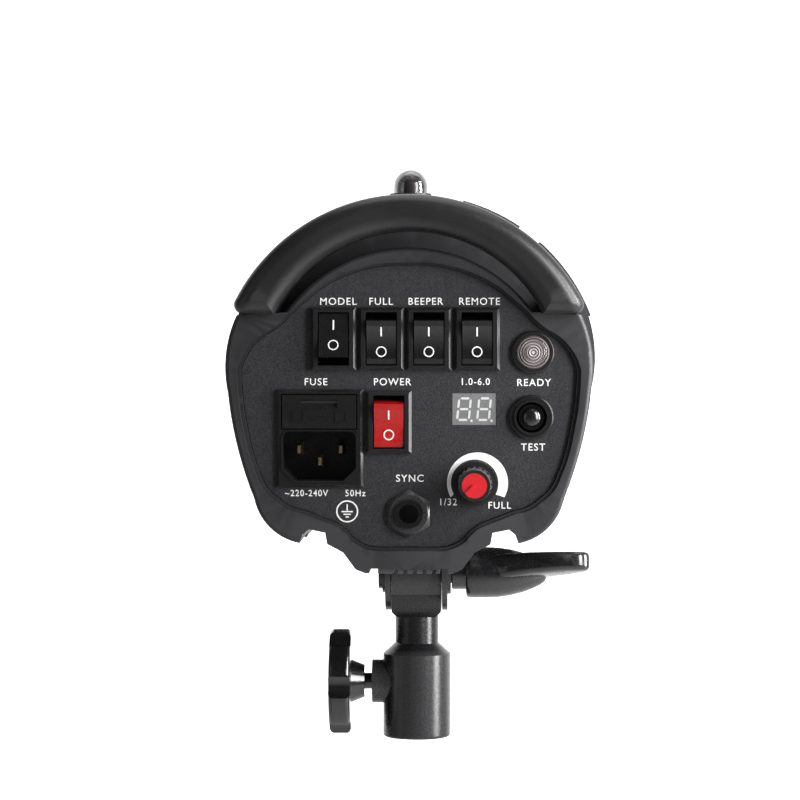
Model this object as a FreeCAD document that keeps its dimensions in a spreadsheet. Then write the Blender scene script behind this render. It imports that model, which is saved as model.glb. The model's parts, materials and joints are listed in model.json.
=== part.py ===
import FreeCAD, Part

"""Monolight studio flash: a mains-powered strobe head on a tilting stand adapter.

Frame: origin at the centre of the mouth of the stand socket, whose bore runs up +Z.
X is to the right seen from the control panel, +Y is the way the light leaves, +Z is up.
Millimetres throughout.
"""
import math
import os
import re

import Sketcher

VEC = FreeCAD.Vector
os.makedirs("parts", exist_ok=True)
doc = FreeCAD.newDocument("Monolight")

# ------------------------------------------------------------------ driving dimensions
SIZES = {
    # housing, front to back
    "rear_y": -120.0, "seam_y": -62.0, "front_y": 120.0, "collar_y": 176.0, "mouth_y": 186.0,
    "shell_half": 61.0, "sleeve_half": 63.0, "axis_z": 136.0, "panel_t": 2.6,
    "panel_sink": 3.0, "rim_bevel": 1.4,
    # carrying handle
    "grip_outer": 65.0, "grip_outer_z": 132.2, "grip_inner": 50.2, "grip_inner_z": 134.8,
    "grip_depth": 30.0, "grip_rear": -128.0, "grip_foot_z": 157.4, "grip_round": 5.0,
    # front collar and reflector bayonet
    "nose_base": 61.5, "nose_tip": 57.5, "nose_len": 30.0, "nose_bore": 52.0,
    "mouth_bore": 46.0, "ring_outer": 56.5, "bayonet_bore": 44.5,
    # lamp parts
    "dish_r": 50.0, "dish_y": 158.0, "tube_ring": 31.0, "tube_r": 4.6, "bulb_r": 17.0,
    "bulb_end": 214.0, "pin_r": 2.0,
    # rocker switches
    "bezel_wide": 15.2, "bezel_tall": 21.0, "rocker_wide": 9.8, "rocker_tall": 14.8,
    "bezel_rise": 2.3, "rocker_gap": 0.35,
    # mains inlet
    "inlet_wide": 29.0, "inlet_tall": 32.7, "recess_wide": 24.6, "recess_tall": 16.6,
    "drawer_wide": 24.8, "drawer_tall": 11.2, "fuse_r": 2.6, "fuse_len": 20.0,
    # round panel parts
    "ready_r": 7.2, "lens_r": 5.8, "test_r": 7.5,
    "sync_bush": 4.8, "sync_bore": 3.25, "sync_nut": 14.0,
    "knob_skirt": 7.5, "knob_body": 5.6, "knob_tall": 15.0, "shaft_r": 3.0,
    "display_wide": 14.5, "display_tall": 10.6, "dome_r": 6.0,
    # tilting stand adapter
    "tilt_z": 61.0, "knuckle_half": 9.1, "knuckle_r": 12.5, "ear_in": 9.45, "ear_t": 2.0,
    "ear_r": 14.0, "bolt_r": 4.0, "neck_r": 8.0, "socket_r": 12.5, "socket_bore": 8.1,
    "socket_len": 31.0, "socket_deep": 28.0, "lock_z": 20.5, "lock_r": 19.5,
    "lever_hub": 9.0, "lever_tip": 63.5,
    # fan and electronics
    "fan_size": 60.0, "fan_deep": 15.0, "fan_bore": 28.6, "fan_hub": 13.0, "cap_r": 17.5,
    "cap_len": 78.0,
}


class Dimensions:
    """The sheet's values by name, for placing objects."""
    def __init__(self, values):
        self.__dict__.update(values)


D = Dimensions(SIZES)
sheet = doc.addObject("Spreadsheet::Sheet", "Dim")
for row, (alias, value) in enumerate(SIZES.items(), start=1):
    sheet.set(f"A{row}", alias)
    sheet.set(f"B{row}", str(value))
    sheet.setAlias(f"B{row}", alias)
doc.recompute()

NODES = []
TURNS = {
    "z": FreeCAD.Rotation(), "-z": FreeCAD.Rotation(VEC(1, 0, 0), 180),
    "y": FreeCAD.Rotation(VEC(1, 0, 0), -90), "-y": FreeCAD.Rotation(VEC(1, 0, 0), 90),
    "x": FreeCAD.Rotation(VEC(0, 1, 0), 90), "-x": FreeCAD.Rotation(VEC(0, 1, 0), -90),
}


# ------------------------------------------------------------------ small modelling kit
def bind(obj, prop, value):
    """Bind a property to the sheet when value is a formula of its names, else set it."""
    if isinstance(value, str):
        obj.setExpression(prop, re.sub(r"[a-z_]{2,}", lambda m: "Dim." + m.group(0), value))
    else:
        obj.setExpression(prop, str(round(float(value), 5)))


def put(obj, at, turn="z"):
    rotation = TURNS[turn] if isinstance(turn, str) else turn
    obj.Placement = FreeCAD.Placement(VEC(*at), rotation)
    return obj


def cyl(name, radius, length, at, turn="y"):
    """Cylinder starting at the point at and running along the turn direction."""
    obj = doc.addObject("Part::Cylinder", name)
    bind(obj, "Radius", radius)
    bind(obj, "Height", length)
    return put(obj, at, turn)


def cone(name, radius, end_radius, length, at, turn="y"):
    obj = doc.addObject("Part::Cone", name)
    bind(obj, "Radius1", radius)
    bind(obj, "Radius2", end_radius)
    bind(obj, "Height", length)
    return put(obj, at, turn)


def ball(name, radius, at):
    obj = doc.addObject("Part::Sphere", name)
    bind(obj, "Radius", radius)
    return put(obj, at)


def ring(name, radius, thick, at, turn="y"):
    obj = doc.addObject("Part::Torus", name)
    bind(obj, "Radius1", radius)
    bind(obj, "Radius2", thick)
    return put(obj, at, turn)


def block(name, wide, deep, tall, at):
    """Box with its least corner at the point at; sizes along X, Y and Z."""
    obj = doc.addObject("Part::Box", name)
    bind(obj, "Length", wide)
    bind(obj, "Width", deep)
    bind(obj, "Height", tall)
    return put(obj, at)


def brick(name, x, y, z):
    """Box between limits given as (low, high) pairs."""
    return block(name, x[1] - x[0], y[1] - y[0], z[1] - z[0], (x[0], y[0], z[0]))


def hexagon(name, flats, length, at, turn="y"):
    obj = doc.addObject("Part::Prism", name)
    obj.Polygon = 6
    bind(obj, "Circumradius", f"{flats} / 1.7320508" if isinstance(flats, str)
         else flats / 1.7320508)
    bind(obj, "Height", length)
    return put(obj, at, turn)


def fuse(name, *shapes):
    if len(shapes) == 1:
        return shapes[0]
    obj = doc.addObject("Part::MultiFuse", name)
    obj.Shapes = list(shapes)
    obj.Refine = True
    return obj


def cut(name, base, *tools):
    obj = doc.addObject("Part::Cut", name)
    obj.Base = base
    obj.Tool = fuse(name + "_tools", *tools)
    return obj


def common(name, base, tool):
    obj = doc.addObject("Part::Common", name)
    obj.Base = base
    obj.Tool = tool
    return obj


def group(name, shapes):
    """Several separate solids kept as one object."""
    obj = doc.addObject("Part::Compound", name)
    obj.Links = list(shapes)
    return obj


def soften(name, base, radius, keep, kind="Part::Fillet"):
    """Round or chamfer every edge of base for which keep(edge) is true."""
    doc.recompute()
    picked = [(i, radius, radius) for i, edge in enumerate(base.Shape.Edges, start=1)
              if keep(edge)]
    obj = doc.addObject(kind, name)
    obj.Base = base
    obj.Edges = picked
    return obj


def node(label, obj):
    """Register obj as a finished sub-part under the given label."""
    obj.Label = label
    NODES.append(obj)
    return obj


def arc_middle(a, b, radius):
    """Middle point of the arc from a to b; a positive radius bulges away from the inside."""
    half = math.dist(a, b) / 2
    sag = abs(radius) - math.sqrt(max(radius * radius - half * half, 0.0))
    nx, nz = (b[1] - a[1]) / (2 * half), -(b[0] - a[0]) / (2 * half)
    sign = -1 if radius > 0 else 1
    return ((a[0] + b[0]) / 2 + sign * nx * sag, (a[1] + b[1]) / 2 + sign * nz * sag)


def outline(name, corners, wide="shell_half", thick=10.0, y=0.0, grow=(1.0, 1.0)):
    """Pad a closed X-Z outline toward +Y from y.

    corners are (x, z, radius to the next corner); radius 0 is a straight edge. X scales
    with the sheet's width so that one cell drives the whole section.
    """
    body = doc.addObject("PartDesign::Body", name)
    sketch = body.newObject("Sketcher::SketchObject", name + "_section")
    plane = [f for f in body.Origin.OriginFeatures if f.Role == "XZ_Plane"][0]
    sketch.AttachmentSupport = [(plane, "")]
    sketch.MapMode = "FlatFace"
    middle_z = D.axis_z
    points = [(x * grow[0], middle_z + (z - middle_z) * grow[1], r) for x, z, r in corners]
    count = len(points)
    for i, (x, z, radius) in enumerate(points):
        nx, nz, _ = points[(i + 1) % count]
        start, end = VEC(x, z, 0), VEC(nx, nz, 0)
        if radius:
            mx, mz = arc_middle((x, z), (nx, nz), radius)
            if radius > 0:
                start, end = end, start
            edge = Part.Arc(start, VEC(mx, mz, 0), end)
        else:
            edge = Part.LineSegment(start, end)
        sketch.addGeometry(edge, False)
    ends = [(2, 1) if radius > 0 else (1, 2) for _, _, radius in points]
    for i in range(count):
        j = (i + 1) % count
        sketch.addConstraint(Sketcher.Constraint("Coincident", i, ends[i][1], j, ends[j][0]))
    for i, (x, z, radius) in enumerate(points):
        at_x = sketch.addConstraint(
            Sketcher.Constraint("DistanceX", -1, 1, i, ends[i][0], x))
        share = round(x / SIZES[wide], 6)
        sketch.setExpression(f"Constraints[{at_x}]", f"Dim.{wide} * ({share})")
        sketch.addConstraint(Sketcher.Constraint("DistanceY", -1, 1, i, ends[i][0], z))
        if radius:
            sketch.addConstraint(Sketcher.Constraint("Radius", i, sketch.Geometry[i].Radius))
    pad = body.newObject("PartDesign::Pad", name + "_pad")
    pad.Profile = sketch
    bind(pad, "Length", thick)
    pad.Reversed = True
    body.Placement = FreeCAD.Placement(VEC(0, y, 0), FreeCAD.Rotation())
    return body


def mirrored(half):
    """Close a right-hand half outline, listed top to bottom, with its mirror image."""
    left = []
    for i in range(len(half) - 1, 0, -1):
        left.append((-half[i][0], half[i][1], half[i - 1][2]))
    body = list(half)
    body[-1] = (half[-1][0], half[-1][1], 0.0)
    if half[0][0] == 0:
        return body + left
    return body + left + [(-half[0][0], half[0][1], 0.0)]


# ------------------------------------------------------------------ section outlines
TUB_HALF = [
    (0.0, 179.5, 50.5), (41.5, 157.8, 0), (57.6, 157.0, 41.0), (60.6, 131.0, 130.0),
    (51.8, 95.5, 19.0), (36.6, 80.6, 0), (35.6, 83.6, 0), (33.5, 85.3, 0), (28.0, 84.2, 0),
    (27.3, 80.4, 0), (22.0, 77.6, 0), (17.8, 71.9, 0), (14.4, 70.5, 0),
]
FLANGE_HALF = [(0.0, 197.2, 65.0), (56.9, 163.2, 46.0)] + TUB_HALF[3:]
SLEEVE_HALF = [
    (0.0, 198.4, 66.2), (58.4, 164.0, 47.0), (62.7, 131.0, 130.0), (53.8, 94.2, 20.0),
    (37.4, 78.4, 0), (36.2, 82.6, 0), (33.8, 84.2, 0), (28.3, 83.2, 0), (27.2, 78.6, 0),
    (22.6, 76.2, 0), (18.4, 71.0, 0), (14.6, 69.5, 0),
]
BORE_HALF = [
    (0.0, 195.8, 63.6), (56.0, 162.9, 45.0), (60.1, 131.0, 127.0), (51.4, 95.4, 18.0),
    (36.6, 86.4, 0), (26.2, 86.0, 0), (20.9, 79.0, 0), (16.9, 73.3, 0), (14.0, 72.1, 0),
]
PANEL_HALF = [
    (0.0, 173.5, 47.5), (31.0, 164.4, 0), (39.2, 157.2, -22.0), (46.8, 150.9, 20.0),
    (55.9, 138.8, 95.0), (53.7, 118.5, 60.0), (49.4, 103.6, 14.0), (43.5, 95.8, 14.0),
    (35.0, 91.7, 0), (26.5, 88.4, -14.0), (18.8, 82.8, 14.0), (9.4, 79.4, 0),
]
LEDGE_HALF = [
    (0.0, 170.8, 45.0), (29.5, 162.0, 0), (37.6, 154.6, -22.0), (45.0, 148.6, 20.0),
    (53.0, 138.0, 95.0), (51.0, 118.5, 60.0), (46.8, 104.6, 14.0), (41.5, 98.2, 14.0),
    (34.0, 94.4, 0), (25.2, 91.0, -14.0), (17.6, 85.4, 14.0), (9.0, 82.2, 0),
]
CAVITY_HALF = [
    (0.0, 176.4, 47.4), (39.6, 155.0, 0), (55.6, 154.0, 40.0), (57.6, 131.0, 127.0),
    (49.2, 96.8, 16.0), (36.2, 88.6, 0), (26.0, 87.4, 0), (20.2, 80.2, 0), (16.4, 75.0, 0),
    (13.8, 73.6, 0),
]


# ------------------------------------------------------------------ housing
def rear_cover():
    length = D.seam_y - D.rear_y
    tub = outline("tub", mirrored(TUB_HALF), "shell_half", "seam_y - rear_y", D.rear_y)
    edge = soften("tub_round", tub, 1.4, lambda e: e.BoundBox.YMax < D.rear_y + 0.01
                  and e.Length > 18.0)
    flange = outline("flange", mirrored(FLANGE_HALF), "shell_half", 6.0, D.seam_y - 6.0)
    whole = fuse("cover_solid", edge, flange)
    back = D.rear_y + D.panel_sink
    sunk = outline("panel_pocket", mirrored(PANEL_HALF), "shell_half",
                   "panel_sink + panel_t + 1", D.rear_y - 1.0, (1.004, 1.004))
    bevel = outline("panel_bevel", mirrored(PANEL_HALF), "shell_half", "rim_bevel + 1",
                    D.rear_y - 1.0, (1.028, 1.024))
    teeth = [brick(f"keel_slot_{i}", (x - w / 2, x + w / 2), (D.rear_y - 1, D.rear_y + 20),
                   (66.0, top)) for i, (x, w, top) in enumerate(KEEL_SLOTS)]
    ledge = outline("ledge_bore", mirrored(LEDGE_HALF), "shell_half", 8.0, back)
    cavity = outline("cover_cavity", mirrored(CAVITY_HALF), "shell_half", length,
                     back + D.panel_t + 2.4)
    arch = cut("arch_hollow", cyl("arch_outer", "grip_outer - 3.5", 8.0,
               (0, D.seam_y - 3.4, D.grip_outer_z)),
               brick("arch_floor", (-90, 90), (D.seam_y - 9, D.seam_y + 9), (0, 154.0)))
    ready = cyl("ready_room", 6.2, 12.0, (READY[0], back, READY[1]))
    return cut("rear_cover_body", whole, sunk, bevel, ledge, cavity, arch, ready, *teeth)


KEEL_SLOTS = [(-11.8, 2.9, 72.2), (11.8, 2.9, 72.2), (-4.4, 1.5, 71.9), (-1.2, 1.5, 71.9),
              (2.0, 1.5, 71.9), (5.2, 1.5, 71.9), (8.4, 1.5, 71.9)]


def carry_handle():
    """Arched grip whose two feet stand on the shoulders of the rear cover."""
    outer = cyl("grip_outer_arc", "grip_outer", "grip_depth",
                (0, D.grip_rear, D.grip_outer_z))
    inner = cyl("grip_inner_arc", "grip_inner", "grip_depth + 2",
                (0, D.grip_rear - 1, D.grip_inner_z))
    below = brick("grip_below", (-90, 90), (D.grip_rear - 1, 0), (40, D.grip_foot_z))
    bar = cut("grip_bar", outer, inner, below)
    bar = soften("grip_ends", bar, 3.0, lambda e: e.BoundBox.ZMax < D.grip_foot_z + 0.1
                 and e.BoundBox.YLength > 20 and max(abs(e.BoundBox.XMin),
                                                     abs(e.BoundBox.XMax)) > 52)
    grip = soften("grip_rounded", bar, D.grip_round, lambda e: e.Length > 60.0)
    feet = []
    for side in (-1, 1):
        x = 51.0 * side
        feet.append(brick(f"grip_foot_{side}", (x - 5, x + 5),
                          (D.grip_rear + 10, D.seam_y - 6.0), (157.0, 163.0)))
    trim = cyl("grip_foot_trim", "grip_outer - 1.2", 80.0,
               (0, D.grip_rear + 9, D.grip_outer_z))
    seat = outline("grip_seat", mirrored(TUB_HALF), "shell_half", 70.0, D.grip_rear + 4)
    return cut("carry_handle_body",
               fuse("grip_and_feet", grip, common("grip_feet", fuse("feet", *feet), trim)), seat)


def main_sleeve():
    length = "front_y - seam_y"
    outside = outline("sleeve_outside", mirrored(SLEEVE_HALF), "sleeve_half", length,
                      D.seam_y)
    inside = outline("sleeve_inside", mirrored(BORE_HALF), "sleeve_half",
                     "front_y - seam_y + 2", D.seam_y - 1)
    window = brick("bracket_window", (-12.2, 12.2), (-26, 26), (60, 78))
    slots = []
    for side in (-1, 1):
        for low, high in VENT_ARCS:
            count = int((high - low) / 4.6)
            for k in range(count):
                angle = math.radians(low + (k + 0.6) * (high - low) / (count + 0.2))
                spot = (side * 66.0 * math.sin(angle), -38.0,
                        D.grip_outer_z + 66.0 * math.cos(angle))
                slot = block(f"vent_{side}_{int(low)}_{k}", 2.0, 56.0, 14.0, (0, 0, 0))
                turn = FreeCAD.Rotation(VEC(0, 1, 0), side * math.degrees(angle))
                slot.Placement = FreeCAD.Placement(
                    VEC(*spot) - turn.multVec(VEC(1.0, 0, 7.0)), turn)
                slots.append(slot)
    bosses = [cyl(f"bracket_boss_{i}", 3.6, 4.6, (x, y, 71.9), "z")
              for i, (x, y) in enumerate(SADDLE_SCREWS)]
    holes = [cyl(f"bracket_hole_{i}", 1.75, 14.0, (x, y, 66.0), "z")
             for i, (x, y) in enumerate(SADDLE_SCREWS)]
    shell = cut("sleeve_shell", outside, inside, window)
    vents = fuse("sleeve_solid", shell, *vent_pads(), *bosses)
    sensor = [cyl("sensor_pocket", 7.45, 6.0, (*SENSOR, 197.4), "z"),
              cyl("sensor_hole", 5.03, 12.0, (*SENSOR, 190.0), "z")]
    return cut("main_sleeve_body", vents, *slots, *holes, *sensor)


VENT_ARCS = [(15.0, 34.0), (41.5, 69.0)]
SADDLE_SCREWS = [(-8.5, -31.0), (8.5, -31.0), (-8.5, 31.0), (8.5, 31.0)]


def vent_pads():
    """Raised louvre fields on both flanks of the sleeve."""
    pads = []
    for side in (-1, 1):
        for low, high in VENT_ARCS:
            pad = doc.addObject("Part::Cylinder", f"vent_pad_{side}_{int(low)}")
            bind(pad, "Radius", "grip_outer + 2.6")
            bind(pad, "Height", 64.0)
            pad.Angle = high - low
            if side > 0:
                start = 90.0 - high
            else:
                start = 90.0 + low
            turn = FreeCAD.Rotation(VEC(1, 0, 0), 90).multiply(
                FreeCAD.Rotation(VEC(0, 0, 1), start))
            pad.Placement = FreeCAD.Placement(VEC(0, 22.0, D.grip_outer_z), turn)
            core = cyl(f"vent_core_{side}_{int(low)}", "grip_outer - 0.6", 66.0,
                       (0, -43.0, D.grip_outer_z))
            pads.append(cut(f"vent_skin_{side}_{int(low)}", pad, core))
    return pads


def front_cover():
    y = D.front_y
    plate = fuse("front_steps",
                 outline("front_plate", mirrored(SLEEVE_HALF), "sleeve_half", 7.0, y),
                 outline("front_step", mirrored(SLEEVE_HALF), "sleeve_half", 9.0, y,
                         (0.985, 0.985)),
                 outline("front_lip", mirrored(SLEEVE_HALF), "sleeve_half", 10.0, y,
                         (0.965, 0.965)))
    nose = cone("nose_cone", "nose_base", "nose_tip", "nose_len", (0, y + 9.9, D.axis_z - 2))
    collar = cyl("nose_collar", "nose_tip", D.collar_y - y - 39.8,
                 (0, y + 39.8, D.axis_z - 2))
    bump = brick("lock_housing", (-10, 10), (y + 36, D.collar_y), (180, 195.5))
    bump = soften("lock_housing_round", bump, 2.5, lambda e: e.BoundBox.ZMin > 194.0)
    hollow = outline("front_hollow", mirrored(BORE_HALF), "sleeve_half", 8.4, y - 1,
                     (0.97, 0.97))
    bore = cyl("nose_hollow", "nose_bore", 46.0, (0, y + 5, D.axis_z - 2))
    mouth = cyl("nose_mouth", "mouth_bore", 40.0, (0, y + 40, D.axis_z - 2))
    slot = brick("lock_slot", (-5.3, 5.3), (y + 39, y + 53.6), (178, 199))
    pin_way = cyl("lock_pin_way", 2.6, 20.0, (0, y + 45, 187.0))
    holes = [cyl(f"ring_hole_{i}", 1.3, 12.0, (x, D.collar_y - 9, z))
             for i, (x, z) in enumerate(ring_screw_places())]
    return cut("front_cover_body", fuse("front_solid", plate, nose, collar, bump), hollow,
               bore, mouth, slot, pin_way, *holes)


def ring_screw_places():
    """Six screws round the bayonet ring, clear of the lock at the top."""
    radius = 50.8
    return [(radius * math.cos(math.radians(a)), D.axis_z - 2 + radius * math.sin(
        math.radians(a))) for a in (0, 60, 120, 180, 240, 300)]


def bayonet_ring():
    """Flat metal ring with three claw notches and a raised lip."""
    z = D.axis_z - 2
    base = cyl("ring_base", "ring_outer", 3.0, (0, D.collar_y, z))
    lip = cyl("ring_lip", "bayonet_bore + 3", "mouth_y - collar_y", (0, D.collar_y, z))
    bore = cyl("ring_bore", "bayonet_bore", 30.0, (0, D.collar_y - 5, z))
    notches = []
    for k in range(3):
        angle = math.radians(90 + 120 * k + 30)
        notch = block(f"claw_notch_{k}", 14.0, 30.0, 8.0, (0, 0, 0))
        turn = FreeCAD.Rotation(VEC(0, 1, 0), 90 - math.degrees(angle))
        centre = VEC(42.0 * math.cos(angle), D.collar_y - 5, z + 42.0 * math.sin(angle))
        notch.Placement = FreeCAD.Placement(centre + turn.multVec(VEC(-7, 0, -2)), turn)
        notches.append(notch)
    holes = [cyl(f"ring_clear_{i}", 1.7, 12.0, (x, D.collar_y - 3, w))
             for i, (x, w) in enumerate(ring_screw_places())]
    sinks = [cone(f"ring_sink_{i}", 1.7, 3.1, 1.41, (x, D.collar_y + 1.6, w))
             for i, (x, w) in enumerate(ring_screw_places())]
    pin = cyl("ring_pin_way", 2.6, 14.0, (0, D.collar_y - 2, 187.0))
    return cut("bayonet_ring_body", fuse("ring_solid", base, lip), bore, pin, *notches,
               *holes, *sinks)


def countersunk(name, radius, head, length, at, turn):
    """Cross-recessed countersunk screw, head outward at the point at."""
    direction = TURNS[turn].multVec(VEC(0, 0, 1))
    depth = head - radius
    top = cone(name + "_head", head, radius, depth, at, turn)
    shank = cyl(name + "_shank", radius, length, at, turn)
    middle = VEC(*at) + direction * 0.3
    bars = []
    for k, (w, h) in enumerate(((head * 1.1, 0.6), (0.6, head * 1.1))):
        bar = block(f"{name}_cross_{k}", w, h, 1.2, (0, 0, 0))
        turned = TURNS[turn]
        bar.Placement = FreeCAD.Placement(
            middle + turned.multVec(VEC(-w / 2, -h / 2, -0.6)), turned)
        bars.append(bar)
    return cut(name, fuse(name + "_solid", top, shank), *bars)


def pan_screw(name, radius, head, length, at, turn):
    """Domed pan-head screw with a cross recess; at is the middle of its bearing face."""
    direction = TURNS[turn].multVec(VEC(0, 0, 1))
    start = VEC(*at) - direction * 1.5
    top = cyl(name + "_head", head, 1.5, tuple(start), turn)
    shank = cyl(name + "_shank", radius, length, at, turn)
    bars = []
    for k, (w, h) in enumerate(((head * 1.2, 0.7), (0.7, head * 1.2))):
        bar = block(f"{name}_cross_{k}", w, h, 2.0, (0, 0, 0))
        bar.Placement = FreeCAD.Placement(
            start + TURNS[turn].multVec(VEC(-w / 2, -h / 2, -1.1)), TURNS[turn])
        bars.append(bar)
    return cut(name, fuse(name + "_solid", top, shank), *bars)


# ------------------------------------------------------------------ rear panel and controls
FACE = D.rear_y + D.panel_sink          # outer face of the panel plate
BACK = FACE + D.panel_t
ROCKERS = [("model", -25.2, 149.0, -1), ("full", -9.2, 149.0, 1),
           ("beeper", 6.7, 149.0, 1), ("remote", 22.8, 149.0, 1),
           ("power", -6.7, 121.2, 1)]
INLET = (-29.8, 115.7)
RECESS = (-30.0, 109.8)
DRAWER = (-30.0, 124.6)
READY = (41.5, 144.5)
TEST = (41.0, 122.8)
KNOB = (22.0, 100.7)
SYNC = (0.0, 90.5)
SCREEN = (21.8, 125.5)
PIVOT_Y = FACE + 3.2                     # the paddles turn well behind the panel
TILT = 11.0                             # rest tilt of a paddle either side of level


def control_panel():
    plate = outline("panel_plate", mirrored(PANEL_HALF), "shell_half", "panel_t", FACE)
    holes = [block(f"panel_hole_{name}", 13.3, 9.0, 19.7,
                   (x - 6.65, FACE - 3, z - 9.85)) for name, x, z, _ in ROCKERS]
    holes.append(block("panel_hole_inlet", 27.4, 9.0, 31.0,
                       (INLET[0] - 13.7, FACE - 3, INLET[1] - 15.5)))
    holes.append(block("panel_hole_screen", "display_wide + 0.2", 9.0, "display_tall + 0.2",
                       (SCREEN[0] - 7.35, FACE - 3, SCREEN[1] - 5.4)))
    for label, (x, z), radius in (("ready", READY, 6.1), ("test", TEST, 6.4),
                                  ("knob", KNOB, 3.6), ("sync", SYNC, "sync_bush + 0.05")):
        holes.append(cyl(f"panel_hole_{label}", radius, 9.0, (x, FACE - 3, z)))
    return cut("control_panel_body", plate, *holes)


def switch_body(name, x, z):
    """Snap-in rocker switch frame: bezel, housing, pivot holes and two blade terminals."""
    bezel = block(f"{name}_bezel", "bezel_wide", "bezel_rise", "bezel_tall",
                  (x - D.bezel_wide / 2, FACE - D.bezel_rise, z - D.bezel_tall / 2))
    bezel = soften(f"{name}_bezel_round", bezel, 0.9, lambda e: all(
        v.Point.y < FACE - 1.0 for v in e.Vertexes), "Part::Chamfer")
    housing = block(f"{name}_housing", 13.0, 15.0, 19.4, (x - 6.5, FACE - 0.1, z - 9.7))
    tabs = [block(f"{name}_tab_{i}", 6.3, 9.0, 0.8, (x - 3.15, FACE + 14.5, z + dz))
            for i, dz in enumerate((-6.5, 0.0))]
    pocket = block(f"{name}_pocket", "rocker_wide + 2 * rocker_gap", 15.0, 17.8,
                   (x - D.rocker_wide / 2 - D.rocker_gap, FACE - 3.0, z - 8.9))
    pivot = cyl(f"{name}_pivot_hole", 0.95, 12.3, (x - 6.15, PIVOT_Y, z), "x")
    return cut(f"{name}_switch_body", fuse(f"{name}_frame", bezel, housing, *tabs), pocket,
               pivot)


def rocker(name, x, z, state):
    """Rocker paddle with a dished face and two trunnions, tilted to its state."""
    half = D.rocker_tall / 2
    drum = cyl(f"{name}_drum", "rocker_tall / 2", "rocker_wide", (-D.rocker_wide / 2, 0, 0),
               "x")
    below = brick(f"{name}_below", (-9, 9), (3.0, 12.0), (-12, 12))
    slab = block(f"{name}_slab", "rocker_wide", 6.2, "rocker_tall",
                 (-D.rocker_wide / 2, -6.2, -half))
    dish = cyl(f"{name}_dish", 26.0, 20.0, (-10, -31.6, 0), "x")
    pins = cyl(f"{name}_trunnions", 0.9, 12.0, (-6.0, 0, 0), "x")
    paddle = cut(f"{name}_dished", fuse(f"{name}_blank", drum, slab), dish, below)
    whole = fuse(f"{name}_rocker_body", paddle, pins)
    whole.Placement = FreeCAD.Placement(
        VEC(x, PIVOT_Y, z), FreeCAD.Rotation(VEC(1, 0, 0), TILT * state))
    return whole


def mains_inlet():
    x, z = INLET
    frame = block("inlet_frame", "inlet_wide", 1.7, "inlet_tall",
                  (x - D.inlet_wide / 2, FACE - 1.7, z - D.inlet_tall / 2))
    frame = soften("inlet_frame_round", frame, 0.8, lambda e: all(
        v.Point.y < FACE - 1.0 for v in e.Vertexes), "Part::Chamfer")
    housing = block("inlet_housing", 27.2, 24.0, 30.8, (x - 13.6, FACE - 0.1, z - 15.4))
    rx, rz = RECESS
    well = block("inlet_well", "recess_wide", 17.0, "recess_tall",
                 (rx - D.recess_wide / 2, FACE - 2.0, rz - D.recess_tall / 2))
    well = soften("inlet_well_bevel", well, 4.2, lambda e: (
        abs(e.BoundBox.YLength - 17) < 0.1 and e.BoundBox.ZMax < rz), "Part::Chamfer")
    dx, dz = DRAWER
    drawer = block("drawer_well", "drawer_wide + 0.7", 20.0, "drawer_tall + 0.7",
                   (dx - D.drawer_wide / 2 - 0.35, FACE - 2.0, dz - D.drawer_tall / 2 - 0.35))
    tabs = [block(f"inlet_tab_{i}", 0.8, 3.0, 4.8, (x + tx, FACE + 23.5, z + tz))
            for i, (tx, tz) in enumerate(((-8, -6), (8, -6), (0, -11)))]
    return cut("mains_inlet_body", fuse("inlet_solid", frame, housing, *tabs), well, drawer)


def inlet_pins():
    """Three flat contact blades standing in the inlet recess."""
    x, z = RECESS
    blades = []
    for i, (dx, dz) in enumerate(((-7.0, 2.0), (7.0, 2.0), (0.0, -2.0))):
        wide, tall = (2.0, 4.0)
        blade = block(f"blade_{i}", wide, 12.0, tall,
                      (x + dx - wide / 2, FACE + 3.0, z + dz - tall / 2))
        blades.append(blade)
    return group("inlet_pins_group", blades)


def fuse_drawer():
    x, z = DRAWER
    half_w, half_t = D.drawer_wide / 2, D.drawer_tall / 2
    face = block("drawer_face", "drawer_wide", 17.0, "drawer_tall",
                 (x - half_w, FACE - 1.9, z - half_t))
    grip = cyl("drawer_grip", 1.6, 12.0, (x - 6, FACE - 2.6, z + 2.6), "x")
    bed = brick("drawer_bed", (x - half_w + 1.6, x + half_w - 1.6),
                (FACE + 0.6, FACE + 14.0), (z - 3.4, z + half_t + 1))
    return cut("fuse_drawer_body", face, grip, bed)


def fuses():
    """Working fuse and its spare lying side by side in the drawer."""
    x, z = DRAWER
    rods = []
    for i, dy in enumerate((4.0, 10.2)):
        glass = cyl(f"fuse_glass_{i}", "fuse_r - 0.2", "fuse_len", (x - 10, FACE + dy, z - 0.8),
                    "x")
        caps = [cyl(f"fuse_end_{i}_{k}", "fuse_r", 5.0, (cx, FACE + dy, z - 0.8), "x")
                for k, cx in enumerate((x - 10, x + 5))]
        rods.append(fuse(f"fuse_{i}", glass, *caps))
    return group("fuses_group", rods)


def ready_bezel():
    x, z = READY
    rim = cyl("ready_rim", "ready_r", 1.8, (x, FACE - 1.8, z))
    rim = soften("ready_rim_round", rim, 0.7, lambda e: e.BoundBox.YMax < FACE - 1)
    sleeve = cyl("ready_sleeve", 6.0, 9.0, (x, FACE - 0.1, z))
    bore = cyl("ready_bore", "lens_r - 0.9", 20.0, (x, FACE - 4, z))
    seat = cyl("ready_seat", "lens_r", 4.0, (x, FACE - 3.4, z))
    return cut("ready_bezel_body", fuse("ready_solid", rim, sleeve), bore, seat)


def ready_lens():
    x, z = READY
    disc = cyl("lens_disc", "lens_r - 0.03", 2.2, (x, FACE - 1.7, z))
    dome = common("lens_dome", ball("lens_ball", 9.0, (x, FACE + 5.6, z)),
                  cyl("lens_trim", "lens_r - 0.03", 2.4, (x, FACE - 4.0, z)))
    return fuse("ready_lens_body", disc, dome)


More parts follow.
